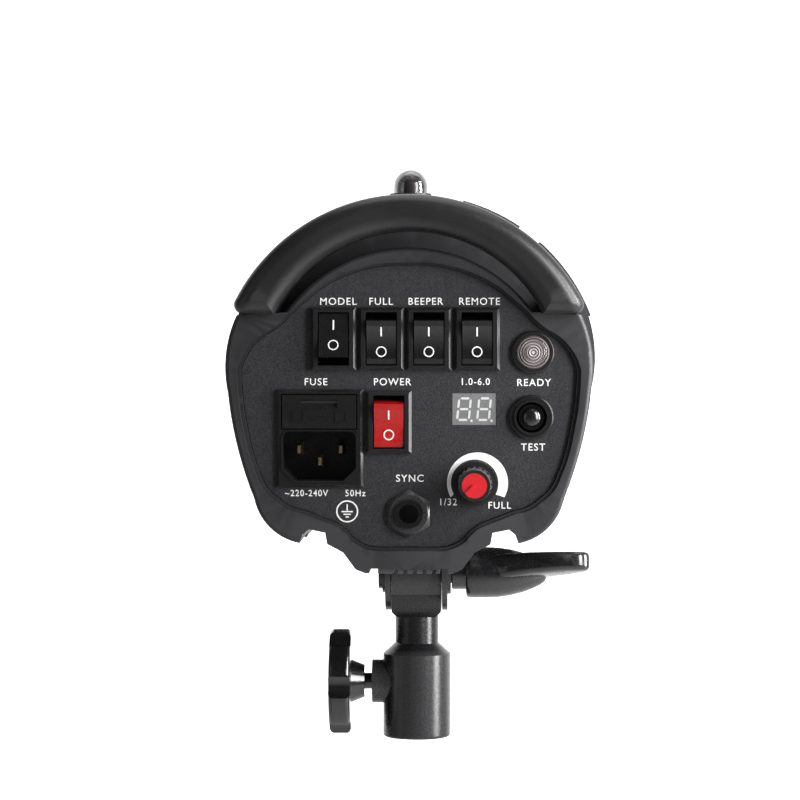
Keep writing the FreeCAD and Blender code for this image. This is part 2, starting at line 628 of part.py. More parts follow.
def test_bezel():
    x, z = TEST
    rim = cyl("test_rim", "test_r", 1.8, (x, FACE - 1.8, z))
    rim = soften("test_rim_round", rim, 0.8, lambda e: e.BoundBox.YMax < FACE - 1)
    collar = cyl("test_collar", 5.9, 2.6, (x, FACE - 2.6, z))
    housing = cyl("test_housing", 6.3, 13.0, (x, FACE - 0.1, z))
    bore = cyl("test_bore", 5.1, 12.0, (x, FACE - 3.0, z))
    stem_hole = cyl("test_stem_hole", 1.55, 9.0, (x, FACE + 6, z))
    return cut("test_bezel_body", fuse("test_solid", rim, collar, housing), bore, stem_hole)


def test_button():
    x, z = TEST
    cap = cyl("button_cap", 4.7, 5.0, (x, FACE - 2.2, z))
    dome = common("button_dome", ball("button_ball", 6.6, (x, FACE + 2.4, z)),
                  cyl("button_trim", 4.7, 3.0, (x, FACE - 5.0, z)))
    stem = cyl("button_stem", 1.5, 10.5, (x, FACE + 2.6, z))
    return fuse("test_button_body", cap, dome, stem)


def coil(name, radius, wire, length, turns, at, turn):
    """Helical compression spring."""
    path = doc.addObject("Part::Helix", name + "_path")
    path.Radius = radius
    path.Pitch = length / turns
    path.Height = length
    path.SegmentLength = 1.0
    doc.recompute()
    ring_section = doc.addObject("Part::Circle", name + "_wire")
    ring_section.Radius = wire
    ring_section.Placement = FreeCAD.Placement(
        VEC(radius, 0, 0), FreeCAD.Rotation(VEC(1, 0, 0), 90))
    sweep = doc.addObject("Part::Sweep", name)
    sweep.Sections = [ring_section]
    sweep.Spine = (path, [f"Edge{i + 1}" for i in range(len(path.Shape.Edges))])
    sweep.Solid = True
    sweep.Frenet = True
    return put(sweep, at, turn)


def display_module():
    """Two-digit display: case behind the panel and a window flush in the opening."""
    x, z = SCREEN
    case = block("display_case", 17.0, 7.0, 13.0, (x - 8.5, BACK + 0.02, z - 6.5))
    window = block("display_window", "display_wide", 2.7, "display_tall",
                   (x - D.display_wide / 2, FACE + 0.1, z - D.display_tall / 2))
    return fuse("display_module_body", case, window)


def sync_jack():
    x, z = SYNC
    bush = cyl("sync_thread", "sync_bush", 8.0, (x, FACE - 3.4, z))
    housing = cyl("sync_housing", 6.2, 24.0, (x, BACK, z))
    bore = cyl("sync_way", "sync_bore", 26.0, (x, FACE - 4, z))
    return cut("sync_jack_body", fuse("sync_solid", bush, housing), bore)


def sync_nut():
    x, z = SYNC
    nut = hexagon("sync_hex", "sync_nut", 2.2, (x, FACE - 2.2, z),
                  FreeCAD.Rotation(VEC(1, 0, 0), -90).multiply(
                      FreeCAD.Rotation(VEC(0, 0, 1), 30)))
    crown = cone("sync_crown", 6.4, 9.0, 2.2, (x, FACE - 2.2, z))
    return cut("sync_nut_body", common("sync_trimmed", nut, crown),
               cyl("sync_nut_way", "sync_bush + 0.02", 4.0, (x, FACE - 3, z)))


def power_pot():
    x, z = KNOB
    can = cyl("pot_can", 8.2, 9.5, (x, BACK, z))
    bush = cyl("pot_bush", 3.55, 5.0, (x, FACE - 1.4, z))
    nut = hexagon("pot_nut", 10.0, 1.3, (x, FACE - 1.35, z))
    legs = [block(f"pot_leg_{i}", 1.2, 0.5, 7.0, (x + dx - 0.6, BACK + 3, z - 12.3))
            for i, dx in enumerate((-5, 0, 5))]
    bore = cyl("pot_bore", "shaft_r + 0.04", 12.0, (x, FACE - 2, z))
    return cut("power_pot_body", fuse("pot_solid", can, bush, nut, *legs), bore)


def power_knob():
    """Fluted knob moulded on its spindle, which turns in the potentiometer's bush."""
    x, z = KNOB
    spindle = cyl("knob_spindle", "shaft_r", 13.0, (x, FACE - 4.0, z))
    skirt = cyl("knob_skirt_plate", "knob_skirt", 2.0, (x, FACE - 2.7, z))
    top_y = FACE - 0.5 - D.knob_tall
    shaft = cone("knob_grip", "knob_body - 0.4", "knob_body + 0.5", "knob_tall - 1.2",
                 (x, top_y, z))
    flutes = []
    for k in range(18):
        a = math.radians(20 * k)
        flutes.append(cyl(f"knob_flute_{k}", 0.55, 9.8,
                          (x + 5.95 * math.cos(a), top_y - 0.5, z + 5.95 * math.sin(a))))
    nut_room = cyl("knob_nut_room", 6.2, 1.6, (x, FACE - 1.75, z))
    cap_seat = cyl("knob_cap_seat", 4.2, 1.0, (x, top_y - 0.1, z))
    grip = cut("knob_hollowed", fuse("knob_solid", skirt, shaft), nut_room, cap_seat, *flutes)
    return fuse("power_knob_body", grip, spindle)


def knob_cap():
    """Coloured disc with a raised pointer, set towards the low end of the scale."""
    x, z = KNOB
    top_y = FACE - 0.5 - D.knob_tall
    disc = cyl("cap_disc", 4.15, 0.9, (x, top_y, z))
    turn = FreeCAD.Rotation(VEC(0, 1, 0), KNOB_START)
    pointer = block("cap_pointer", 1.1, 1.0, 4.0, (0, 0, 0))
    pointer.Placement = FreeCAD.Placement(
        VEC(x, top_y, z) + turn.multVec(VEC(-0.55, -0.6, 0)), turn)
    return fuse("knob_cap_body", disc, pointer)


KNOB_START = -135.0


def sensor_base():
    rim = cyl("sensor_rim", 7.4, 2.2, (SENSOR[0], SENSOR[1], 197.4), "z")
    stem = cyl("sensor_stem", 5.0, 6.0, (SENSOR[0], SENSOR[1], 192.6), "z")
    seat = cyl("sensor_seat", "dome_r + 0.03", 3.0, (SENSOR[0], SENSOR[1], 198.7), "z")
    way = cyl("sensor_way", 3.4, 9.0, (SENSOR[0], SENSOR[1], 191.0), "z")
    return cut("sensor_base_body", fuse("sensor_solid", rim, stem), seat, way)


SENSOR = (-1.0, -53.0)


def sensor_dome():
    x, y = SENSOR
    wall = cyl("dome_wall", "dome_r", 3.2, (x, y, 198.8), "z")
    top = common("dome_top", ball("dome_ball", "dome_r", (x, y, 202.0)),
                 brick("dome_trim", (x - 9, x + 9), (y - 9, y + 9), (201.9, 210)))
    inside = cyl("dome_inside", "dome_r - 1.2", 3.0, (x, y, 198.7), "z")
    crown = ball("dome_crown", "dome_r - 1.2", (x, y, 201.7))
    return cut("sensor_dome_body", fuse("dome_solid", wall, top), inside, crown)


def sensor_cell():
    x, y = SENSOR
    return fuse("sensor_cell_body", cyl("cell_can", 2.5, 10.5, (x, y, 192.0), "z"),
                ball("cell_lens", 2.5, (x, y, 202.5)))


# ------------------------------------------------------------------ lamp head
def chassis_plate():
    z = D.axis_z - 2
    disc = cyl("chassis_disc", 50.5, 2.0, (0, 126.0, z))
    holes = [cyl("chassis_bulb_way", 21.5, 6, (0, 124, z))]
    for i, x in enumerate((-31, 31)):
        holes.append(cyl(f"chassis_tube_way_{i}", 5.0, 6, (x, 124, z)))
    return cut("chassis_plate_body", disc, *holes)


def lamp_socket():
    z = D.axis_z - 2
    shell = cone("socket_shell", 17.0, 20.5, 36.0, (0, 122.0, z))
    flange = cyl("socket_flange", 24.0, 3.0, (0, 128.0, z))
    return cut("lamp_socket_body", fuse("socket_solid", shell, flange),
               cyl("socket_well", 14.1, 33.0, (0, 127.5, z)))


def bulb_cap():
    z = D.axis_z - 2
    rings = [ring(f"cap_thread_{k}", 12.9, 0.9, (0, 134.0 + 3.2 * k, z)) for k in range(6)]
    return fuse("bulb_cap_body", cyl("cap_sleeve", 12.9, 24.0, (0, 131.5, z)), *rings,
                cone("cap_tip", 5.0, 11.0, 3.0, (0, 128.6, z)))


def modelling_bulb():
    """Halogen modelling lamp envelope: neck, barrel and domed end."""
    z = D.axis_z - 2
    neck = cone("bulb_neck", 12.0, "bulb_r", 14.0, (0, 155.5, z))
    barrel = cyl("bulb_barrel", "bulb_r", "bulb_end - 186.4", (0, 169.4, z))
    end = ball("bulb_nose", "bulb_r", (0, D.bulb_end - D.bulb_r, z))
    return fuse("modelling_bulb_body", neck, barrel, end)


def reflector_dish():
    z = D.axis_z - 2
    base = cyl("dish_base", "dish_r", 1.2, (0, D.dish_y, z))
    rim = cut("dish_rim", cyl("dish_rim_out", "dish_r", 6.0, (0, D.dish_y, z)),
              cyl("dish_rim_in", "dish_r - 1.2", 9.0, (0, D.dish_y - 1, z)))
    ways = [cyl("dish_bulb_way", 22.5, 9.0, (0, D.dish_y - 3, z))]
    ways += [cyl(f"dish_tube_way_{i}", 6.2, 9.0, (x, D.dish_y - 3, z))
             for i, x in enumerate((-31, 31))]
    return cut("reflector_dish_body", fuse("dish_solid", base, rim), *ways)


def tube_sockets():
    z = D.axis_z - 2
    return group("tube_sockets_group", [
        cut(f"tube_socket_{i}", cyl(f"tube_socket_body_{i}", 4.8, 34.0, (x, 122.0, z)),
            cyl(f"tube_socket_way_{i}", "pin_r + 0.05", 16.0, (x, 141.0, z)))
        for i, x in enumerate((-31, 31))])


def flash_tube():
    """Ring-shaped discharge tube on two legs."""
    z = D.axis_z - 2
    loop = ring("tube_loop", "tube_ring", "tube_r", (0, 178.0, z))
    legs = [cyl(f"tube_leg_{i}", "tube_r", 16.0, (x, 162.0, z))
            for i, x in enumerate((-31, 31))]
    gap = brick("tube_gap", (-3, 3), (170, 190), (z - 40, z - 20))
    ends = [ball(f"tube_end_{i}", "tube_r", (x, 178.0, z - 30.6))
            for i, x in enumerate((-4.5, 4.5))]
    return fuse("flash_tube_body", cut("tube_open", loop, gap), *legs, *ends)


def tube_electrodes():
    z = D.axis_z - 2
    return group("tube_electrodes_group", [
        fuse(f"electrode_{i}", cyl(f"ferrule_{i}", 4.7, 4.5, (x, 157.4, z)),
             cyl(f"electrode_pin_{i}", "pin_r", 15.0, (x, 142.6, z)))
        for i, x in enumerate((-31, 31))])


def reflector_lock():
    """Thumb slider with a locking pin that reaches through the bayonet ring."""
    y = D.front_y
    thumb = brick("lock_thumb", (-4.9, 4.9), (y + 47.2, y + 53.2), (189.6, 198.0))
    ribs = [brick(f"lock_rib_{k}", (-4.9, 4.9), (y + 47.8 + 1.8 * k, y + 48.6 + 1.8 * k),
                  (197.9, 198.8)) for k in range(3)]
    pin = cyl("lock_pin", 2.5, 20.0, (0, y + 48.0, 187.0))
    bar = brick("lock_neck", (-2.0, 2.0), (y + 48.0, y + 52.4), (187.0, 190.0))
    return fuse("reflector_lock_body", thumb, *ribs, pin, bar)


# ------------------------------------------------------------------ power electronics
CELLS = [(-19.0, 118.0), (19.0, 118.0), (-19.0, 156.5), (19.0, 156.5)]
CELL_Y = -24.0


def capacitor_bank():
    """Four storage capacitors lying along the sleeve, each with two terminal studs."""
    cans = []
    for i, (x, z) in enumerate(CELLS):
        can = cyl(f"can_{i}", "cap_r", "cap_len", (x, CELL_Y, z))
        can = soften(f"can_round_{i}", can, 1.5, lambda e: e.Length > 60)
        groove = cut(f"can_groove_{i}", cyl(f"groove_out_{i}", 20.0, 1.6, (x, CELL_Y + 5, z)),
                     cyl(f"groove_in_{i}", 16.8, 3.0, (x, CELL_Y + 4.4, z)))
        studs = [cyl(f"stud_{i}_{k}", 2.5, 6.0, (x + dx, CELL_Y + D.cap_len - 1, z))
                 for k, dx in enumerate((-5, 5))]
        cans.append(cut(f"cell_{i}", fuse(f"cell_solid_{i}", can, *studs), groove))
    return group("capacitor_bank_group", cans)


def capacitor_bracket():
    """Two clamping plates that hold the four cans and screw to the sleeve."""
    plates = []
    for i, y in enumerate((CELL_Y + 12, CELL_Y + 62)):
        disc = common(f"clamp_disc_{i}", cyl(f"clamp_round_{i}", 59.0, 2.0,
                                             (0, y, D.axis_z)),
                      brick(f"clamp_field_{i}", (-46, 46), (y - 1, y + 3), (95.5, 181)))
        ways = [cyl(f"clamp_way_{i}_{k}", "cap_r + 0.02", 6.0, (x, y - 2, z))
                for k, (x, z) in enumerate(CELLS)]
        plates.append(cut(f"clamp_{i}", disc, *ways))
    return group("capacitor_bracket_group", plates)


def power_board():
    board = brick("board_plate", (-34, 34), (-30, 100), (88.0, 89.6))
    holes = [cyl(f"board_hole_{i}", 1.6, 6.0, (x, y, 86), "z")
             for i, (x, y) in enumerate(((-29, -26), (29, -26), (-29, 96), (29, 96)))]
    parts = [cyl("choke", 7.0, 9.0, (-22, 70, 89.5), "z"),
             cyl("smoothing_can", 8.0, 22.0, (25, 66, 89.5), "z"),
             brick("relay", (18, 33), (78, 92), (89.5, 104)),
             brick("film_cap", (-32, -18), (82, 92), (89.5, 101)),
             brick("terminal_row", (-16, 16), (-28, -21), (89.5, 98))]
    return cut("power_board_body", fuse("board_solid", board, *parts), *holes)


def charge_transformer():
    core = brick("core_block", (-15, 15), (62, 86), (89.6, 117))
    window = brick("core_window", (-10.5, 10.5), (50, 90), (95, 111.6))
    leg = brick("core_leg", (-4, 4), (62, 86), (94, 112))
    coil_form = cyl("winding", 8.6, 16.6, (0, 74, 95), "z")
    return fuse("charge_transformer_body", cut("core_frame", core, window), leg, coil_form)


def fan_frame():
    x0 = D.fan_size / 2
    frame = block("fan_block", "fan_size", "fan_deep", "fan_size",
                  (-x0, -58.0, D.axis_z - x0))
    bore = cyl("fan_way", "fan_bore", 20.0, (0, -60.0, D.axis_z))
    holes = [cyl(f"fan_hole_{i}", 2.1, 20.0, (sx * 25, -60.0, D.axis_z + sz * 25))
             for i, (sx, sz) in enumerate(((-1, -1), (-1, 1), (1, -1), (1, 1)))]
    hub = cyl("fan_seat", "fan_hub", 2.0, (0, -45.0, D.axis_z))
    arms = []
    for k in range(3):
        arm = block(f"fan_arm_{k}", 17.5, 2.0, 3.0, (0, 0, 0))
        turn = FreeCAD.Rotation(VEC(0, 1, 0), 120.0 * k + 15)
        arm.Placement = FreeCAD.Placement(
            VEC(0, -45.0, D.axis_z) + turn.multVec(VEC(12.5, 0, -1.5)), turn)
        arms.append(arm)
    pin = cyl("fan_pin", 1.5, 9.0, (0, -53.5, D.axis_z))
    return fuse("fan_frame_body", cut("fan_open", frame, bore, *holes), hub, *arms, pin)


def fan_rotor():
    hub = cyl("rotor_hub", "fan_hub - 0.2", 11.0, (0, -57.5, D.axis_z))
    blades = []
    for k in range(7):
        blade = block(f"rotor_blade_{k}", 15.5, 1.4, 10.0, (12.0, -0.7, -5.0))
        tilt = FreeCAD.Rotation(VEC(0, 1, 0), 360.0 / 7 * k).multiply(
            FreeCAD.Rotation(VEC(1, 0, 0), 52.0))
        blade.Placement = FreeCAD.Placement(
            VEC(0, -52.0, D.axis_z) + tilt.multVec(VEC(12.0, -0.7, -4.8)), tilt)
        blades.append(blade)
    way = cyl("rotor_way", 1.54, 12.0, (0, -55.0, D.axis_z))
    limit = cyl("rotor_limit", "fan_bore - 0.6", 11.0, (0, -57.5, D.axis_z))
    return cut("fan_rotor_body", common("rotor_trimmed", fuse("rotor_solid", hub, *blades),
                                        limit), way)


def control_board():
    board = brick("logic_plate", (-36, 40), (-90.0, -88.4), (104, 150))
    chips = [brick("logic_chip", (-12, 6), (-88.5, -86.2), (120, 138)),
             brick("logic_relay", (14, 30), (-88.5, -76), (134, 148)),
             brick("logic_socket", (-28, -22), (-88.5, -80), (108, 128)),
             cyl("logic_can", 4.0, 12.0, (36, -88.5, 112))]
    return fuse("control_board_body", board, *chips)


def buzzer():
    return cut("buzzer_body", cyl("buzzer_can", 7.0, 7.0, (-24, -88.38, 139)),
               cyl("buzzer_hole", 1.2, 3.0, (-24, -83.0, 139)))


# ------------------------------------------------------------------ tilting stand adapter
def mount_saddle():
    """U-shaped steel bracket: base plate inside the sleeve and two round-ended ears."""
    base = brick("saddle_base", (-16, 16), (-38, 38), (76.6, 79.6))
    ears = []
    for side in (-1, 1):
        x = D.ear_in if side > 0 else -D.ear_in - D.ear_t
        disc = cyl(f"ear_disc_{side}", "ear_r", "ear_t", (x, 0, D.tilt_z), "x")
        strap = block(f"ear_strap_{side}", "ear_t", "2 * ear_r", 17.0,
                      (x, -D.ear_r, D.tilt_z))
        ears += [disc, strap]
    bore = cyl("saddle_bolt_way", "bolt_r + 0.05", 60.0, (-30, 0, D.tilt_z), "x")
    holes = [cyl(f"saddle_hole_{i}", 1.5, 9.0, (x, y, 74), "z")
             for i, (x, y) in enumerate(SADDLE_SCREWS)]
    return cut("mount_saddle_body", fuse("saddle_solid", base, *ears), bore, *holes)


def saddle_screws():
    return group("saddle_screws_group", [
        pan_screw(f"saddle_screw_{i}", 1.5, 2.9, 10.5, (x, y, 69.5), "z")
        for i, (x, y) in enumerate(SADDLE_SCREWS)])


def stand_adapter():
    """Toothed knuckle, neck and socket that drops over the spigot of a light stand."""
    half = D.knuckle_half
    drum = cyl("knuckle_drum", "knuckle_r", "2 * knuckle_half", (-half, 0, D.tilt_z), "x")
    cheek = block("knuckle_block", "2 * knuckle_half", "1.6 * knuckle_r", "tilt_z - 45",
                  (-half, -0.8 * D.knuckle_r, 45.0))
    cheek = soften("knuckle_round", cheek, 2.0, lambda e: e.BoundBox.ZLength < 0.1
                   and e.BoundBox.ZMax < 46, "Part::Chamfer")
    teeth = []
    for k in range(9):
        angle = math.radians(90 + 14 * (k - 4))
        teeth.append(cyl(f"knuckle_tooth_{k}", 0.8, "2 * knuckle_half - 5",
                         (-half + 2.5, D.knuckle_r * math.cos(angle),
                          D.tilt_z + D.knuckle_r * math.sin(angle)), "x"))
    neck = cyl("neck", "neck_r", 20.0, (0, 0, 29.0), "z")
    flare = cone("neck_flare", "socket_r", "neck_r", 4.0, (0, 0, 31.0), "z")
    socket = cyl("socket", "socket_r", "socket_len", (0, 0, 0), "z")
    socket = soften("socket_round", socket, 1.2, lambda e: e.BoundBox.ZMax < 1)
    boss = cyl("lock_boss", 8.0, 8.0, (-16.5, 0, D.lock_z), "x")
    bolt = cyl("knuckle_bolt_way", "bolt_r + 0.05", 40.0, (-20, 0, D.tilt_z), "x")
    bore = cyl("socket_way", "socket_bore", "socket_deep + 1", (0, 0, -1.0), "z")
    screw_way = cyl("lock_screw_way", 3.05, 12.0, (-18, 0, D.lock_z), "x")
    body = fuse("adapter_solid", drum, cheek, neck, flare, socket, boss)
    return cut("stand_adapter_body", body, bolt, bore, screw_way, *teeth)


def stand_lock_knob():
    """Star-grip clamp screw of the stand socket."""
    x = -24.2
    head = cyl("lock_head", "lock_r", 8.0, (x - 8.0, 0, D.lock_z), "x")
    head = soften("lock_head_round", head, 1.8, lambda e: e.Length > 60)
    hub = cone("lock_hub", 8.0, 6.0, 5.0, (x - 0.1, 0, D.lock_z), "x")
    screw = cyl("lock_screw", 3.0, 14.5, (x + 1.5, 0, D.lock_z), "x")
    reach = D.lock_r + 3.0
    lobes = []
    for k in range(6):
        a = math.radians(60 * k)
        lobes.append(cyl(f"lock_lobe_{k}", 5.6, 12.0,
                         (x - 10, reach * math.cos(a), D.lock_z + reach * math.sin(a)), "x"))
    return fuse("stand_lock_knob_body", cut("lock_grip", head, *lobes), hub, screw)


def tilt_bolt():
    """Low-headed pivot bolt through ears and knuckle."""
    head = cyl("bolt_head", 6.0, 1.4, (-14.1, 0, D.tilt_z), "x")
    shank = cyl("bolt_shank", "bolt_r", 52.0, (-13.0, 0, D.tilt_z), "x")
    return fuse("tilt_bolt_body", head, shank)


def tilt_washers():
    return group("tilt_washers_group", [
        cut(f"washer_{i}", cyl(f"washer_disc_{i}", r, 1.2, (x, 0, D.tilt_z), "x"),
            cyl(f"washer_way_{i}", "bolt_r + 0.05", 4.0, (x - 1, 0, D.tilt_z), "x"))
        for i, (x, r) in enumerate(((-12.67, 7.5), (11.47, 8.0)))])


def tilt_lever():
    """Collar, bullet-shaped hub and a flat blade reaching outboard and to the rear."""
    z = D.tilt_z
    collar = cyl("lever_collar", 6.3, 7.0, (13.0, 0, z), "x")
    hub = cone("lever_hub_flare", "lever_hub + 0.3", "lever_hub - 0.2", 5.0,
               (19.4, 0, z), "x")
    barrel = cone("lever_barrel", "lever_hub - 0.2", 6.8, 15.0, (24.3, 0, z), "x")
    nose = cone("lever_nose", 6.8, 4.4, 8.0, (39.3, 0, z), "x")
    blade = doc.addObject("Part::Wedge", "lever_blade")
    for prop, value in (("Xmin", 0), ("Xmax", 15), ("Ymin", 0), ("Ymax", 40), ("Zmin", 0),
                        ("Zmax", 9.5), ("X2min", 1.5), ("X2max", 13.5), ("Z2min", 1.5),
                        ("Z2max", 8.5)):
        setattr(blade, prop, float(value))
    bind(blade, "Ymax", "lever_tip - 24")
    turn = FreeCAD.Rotation(VEC(0, 0, 1), -90 - 12)
    turn = FreeCAD.Rotation(VEC(0, 1, 0), -9).multiply(turn)
    blade.Placement = FreeCAD.Placement(VEC(25.5, 5.8, z - 4.2), turn)
    way = cyl("lever_way", "bolt_r + 0.05", 28.0, (12, 0, z), "x")
    return cut("tilt_lever_body",
               fuse("lever_solid", collar, hub, barrel, nose, blade), way)


def accent_strip():
    """Thin coloured inlay on the crest of the flange, right of the sensor."""
    low, high = 8.6, 13.8
    arc = doc.addObject("Part::Cylinder", "accent_arc")
    bind(arc, "Radius", "grip_outer + 0.5")
    bind(arc, "Height", 5.0)
    arc.Angle = high - low
    turn = FreeCAD.Rotation(VEC(1, 0, 0), 90).multiply(
        FreeCAD.Rotation(VEC(0, 0, 1), 90.0 - high))
    arc.Placement = FreeCAD.Placement(VEC(0, D.seam_y - 0.5, D.grip_outer_z), turn)
    return cut("accent_strip_body", arc, cyl("accent_core", "grip_outer - 0.02", 9.0,
                                             (0, D.seam_y - 7, D.grip_outer_z)))


# ------------------------------------------------------------------ assembly
def build_housing():
    node("rear_cover", rear_cover())
    node("carry_handle", carry_handle())
    node("main_sleeve", main_sleeve())
    node("front_cover", front_cover())
    node("bayonet_ring", bayonet_ring())
    node("bayonet_screws", group("bayonet_screws_group", [
        countersunk(f"ring_screw_{i}", 1.3, 3.0, 9.0, (x, D.collar_y + 3.0, z), "-y")
        for i, (x, z) in enumerate(ring_screw_places())]))
    node("reflector_lock", reflector_lock())
    node("accent_strip", accent_strip())


def build_panel():
    node("control_panel", control_panel())
    for name, x, z, state in ROCKERS:
        node(f"{name}_switch", switch_body(name, x, z))
        node(f"{name}_rocker", rocker(name, x, z, state))
    node("mains_inlet", mains_inlet())
    node("inlet_pins", inlet_pins())
    node("fuse_drawer", fuse_drawer())
    node("fuses", fuses())
    node("ready_bezel", ready_bezel())
    node("ready_lens", ready_lens())
    node("test_bezel", test_bezel())
    node("test_button", test_button())
    node("test_spring", coil("test_spring_body", 2.6, 0.35, 5.2, 4,
                             (TEST[0], FACE + 3.3, TEST[1]), "y"))
    node("display_module", display_module())
    node("sync_jack", sync_jack())
    node("sync_nut", sync_nut())
    node("power_pot", power_pot())
    node("power_knob", power_knob())
    node("knob_cap", knob_cap())
    node("sensor_base", sensor_base())
    node("sensor_dome", sensor_dome())
    node("sensor_cell", sensor_cell())
    node("control_board", control_board())
    node("buzzer", buzzer())


def build_lamp():
    node("chassis_plate", chassis_plate())
    node("lamp_socket", lamp_socket())
    node("bulb_cap", bulb_cap())
    node("modelling_bulb", modelling_bulb())
    node("reflector_dish", reflector_dish())
    node("tube_sockets", tube_sockets())
    node("flash_tube", flash_tube())
    node("tube_electrodes", tube_electrodes())


def build_power():
    node("capacitor_bank", capacitor_bank())
    node("capacitor_bracket", capacitor_bracket())
    node("power_board", power_board())
    node("charge_transformer", charge_transformer())
    node("fan_frame", fan_frame())
    node("fan_rotor", fan_rotor())


def build_stand():
    node("mount_saddle", mount_saddle())
    node("saddle_screws", saddle_screws())
    node("stand_adapter", stand_adapter())
    node("stand_lock_knob", stand_lock_knob())
    node("tilt_bolt", tilt_bolt())
    node("tilt_washers", tilt_washers())
    node("tilt_lever", tilt_lever())


def check_and_write():
    doc.recompute()
    faults = [f"{obj.Name}: {obj.State}" for obj in doc.Objects
              if "Invalid" in obj.State or "Error" in obj.State]
    for obj in NODES:
        shape = obj.Shape
        if shape.isNull() or not shape.isValid() or not shape.Solids:
            faults.append(f"{obj.Label} has no valid solid")
        elif obj.TypeId != "Part::Compound" and len(shape.Solids) != 1:
            faults.append(f"{obj.Label} fell into {len(shape.Solids)} solids")
    if faults:
        raise RuntimeError("; ".join(faults))
    for obj in NODES:
        obj.Shape.exportStep(f"parts/{obj.Label}.step")
        box = obj.Shape.BoundBox
        print(f"{obj.Label:20s} {len(obj.Shape.Solids):2d} solids "
              f"X {box.XMin:7.1f} {box.XMax:7.1f}  Y {box.YMin:7.1f} {box.YMax:7.1f}  "
              f"Z {box.ZMin:7.1f} {box.ZMax:7.1f}")
    print(len(NODES), "sub-parts")


build_housing()
build_panel()
build_lamp()
build_power()
build_stand()
check_and_write()
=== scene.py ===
import bpy
import bmesh
import json
import math
from mathutils import Matrix, Vector


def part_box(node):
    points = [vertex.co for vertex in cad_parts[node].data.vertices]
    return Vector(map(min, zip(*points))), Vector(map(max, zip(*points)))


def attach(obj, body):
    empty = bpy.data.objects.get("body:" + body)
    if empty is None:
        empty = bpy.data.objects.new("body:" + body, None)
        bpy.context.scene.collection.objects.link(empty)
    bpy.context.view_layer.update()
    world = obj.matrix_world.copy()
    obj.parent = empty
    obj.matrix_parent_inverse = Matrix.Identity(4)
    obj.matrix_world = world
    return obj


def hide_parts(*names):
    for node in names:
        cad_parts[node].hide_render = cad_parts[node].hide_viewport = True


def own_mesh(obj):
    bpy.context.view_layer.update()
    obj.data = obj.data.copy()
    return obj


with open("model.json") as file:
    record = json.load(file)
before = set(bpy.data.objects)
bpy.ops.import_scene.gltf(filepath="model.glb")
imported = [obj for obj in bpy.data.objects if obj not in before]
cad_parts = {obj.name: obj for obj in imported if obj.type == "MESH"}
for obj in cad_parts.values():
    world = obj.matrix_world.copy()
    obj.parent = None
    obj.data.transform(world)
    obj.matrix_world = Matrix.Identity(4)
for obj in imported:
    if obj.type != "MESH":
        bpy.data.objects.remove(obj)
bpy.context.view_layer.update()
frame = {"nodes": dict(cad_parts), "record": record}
NODES = frame["nodes"]
MM = 0.001

# places in mm, as in the CAD model
FACE = -117.0                    # outer face of the panel plate
ROCKER_PIVOT = 3.2               # depth of the paddles' pivots behind that face
ROCKER_TILT = 11.0               # rest tilt of a paddle, in degrees
ROCKERS = [("model", -25.2, 149.0, -1), ("full", -9.2, 149.0, 1), ("beeper", 6.7, 149.0, 1),
           ("remote", 22.8, 149.0, 1), ("power", -6.7, 121.2, 1)]
DIAL = (22.0, 100.7)
DISPLAY = (21.8, 125.5)
EARTH = (-20.7, 91.2)            # printed earth symbol
RECESS_Z = 109.8                 # middle height of the inlet's recess
TILT_Z = 61.0                    # height of the tilt bolt
INK_DEPTH = 0.05


# ------------------------------------------------------------------ materials
def new_material(name):
    mat = bpy.data.materials.new(name)
    mat.use_nodes = True
    nodes = mat.node_tree.nodes
    shader = nodes["Principled BSDF"]
    return mat, nodes, mat.node_tree.links, shader


def coordinates(nodes, links, stretch=(1, 1, 1)):
    """Object coordinates in metres, optionally stretched along an axis."""
    where = nodes.new("ShaderNodeTexCoord")
    mapping = nodes.new("ShaderNodeMapping")
    mapping.inputs["Scale"].default_value = stretch
    links.new(where.outputs["Object"], mapping.inputs["Vector"])
    return mapping.outputs["Vector"]


def noise(nodes, links, vector, scale, detail=3.0, rough=0.55):
    tex = nodes.new("ShaderNodeTexNoise")
    tex.inputs["Scale"].default_value = scale
    tex.inputs["Detail"].default_value = detail
    tex.inputs["Roughness"].default_value = rough
    links.new(vector, tex.inputs["Vector"])
    return tex.outputs["Fac"]


def ramp(nodes, links, factor, stops):
    """Colour ramp; stops are (position, colour)."""
    node = nodes.new("ShaderNodeValToRGB")
    for i, (position, colour) in enumerate(stops):
        element = node.color_ramp.elements[i] if i < 2 else node.color_ramp.elements.new(0.5)
        element.position = position
        element.color = (*colour, 1.0)
    links.new(factor, node.inputs["Fac"])
    return node.outputs["Color"]


def span(nodes, links, factor, low, high, start=0.0, end=1.0):
    node = nodes.new("ShaderNodeMapRange")
    for key, value in (("From Min", start), ("From Max", end), ("To Min", low),
                       ("To Max", high)):
        node.inputs[key].default_value = value
    links.new(factor, node.inputs["Value"])
    return node.outputs["Result"]


def add_bump(nodes, links, shader, heights):
    """Stack bumps; heights are (factor, distance in metres, strength)."""
    previous = None
    for factor, distance, strength in heights:
        bump = nodes.new("ShaderNodeBump")
        bump.inputs["Distance"].default_value = distance
        bump.inputs["Strength"].default_value = strength
        links.new(factor, bump.inputs["Height"])
        if previous is not None:
            links.new(previous, bump.inputs["Normal"])
        previous = bump.outputs["Normal"]
    links.new(previous, shader.inputs["Normal"])


def multiply(nodes, links, first, second):
    """Product of two colours."""
    mix = nodes.new("ShaderNodeMix")
    mix.data_type, mix.blend_type = "RGBA", "MULTIPLY"
    mix.inputs["Factor"].default_value = 1.0
    links.new(first, mix.inputs[6])
    links.new(second, mix.inputs[7])
    return mix.outputs[2]


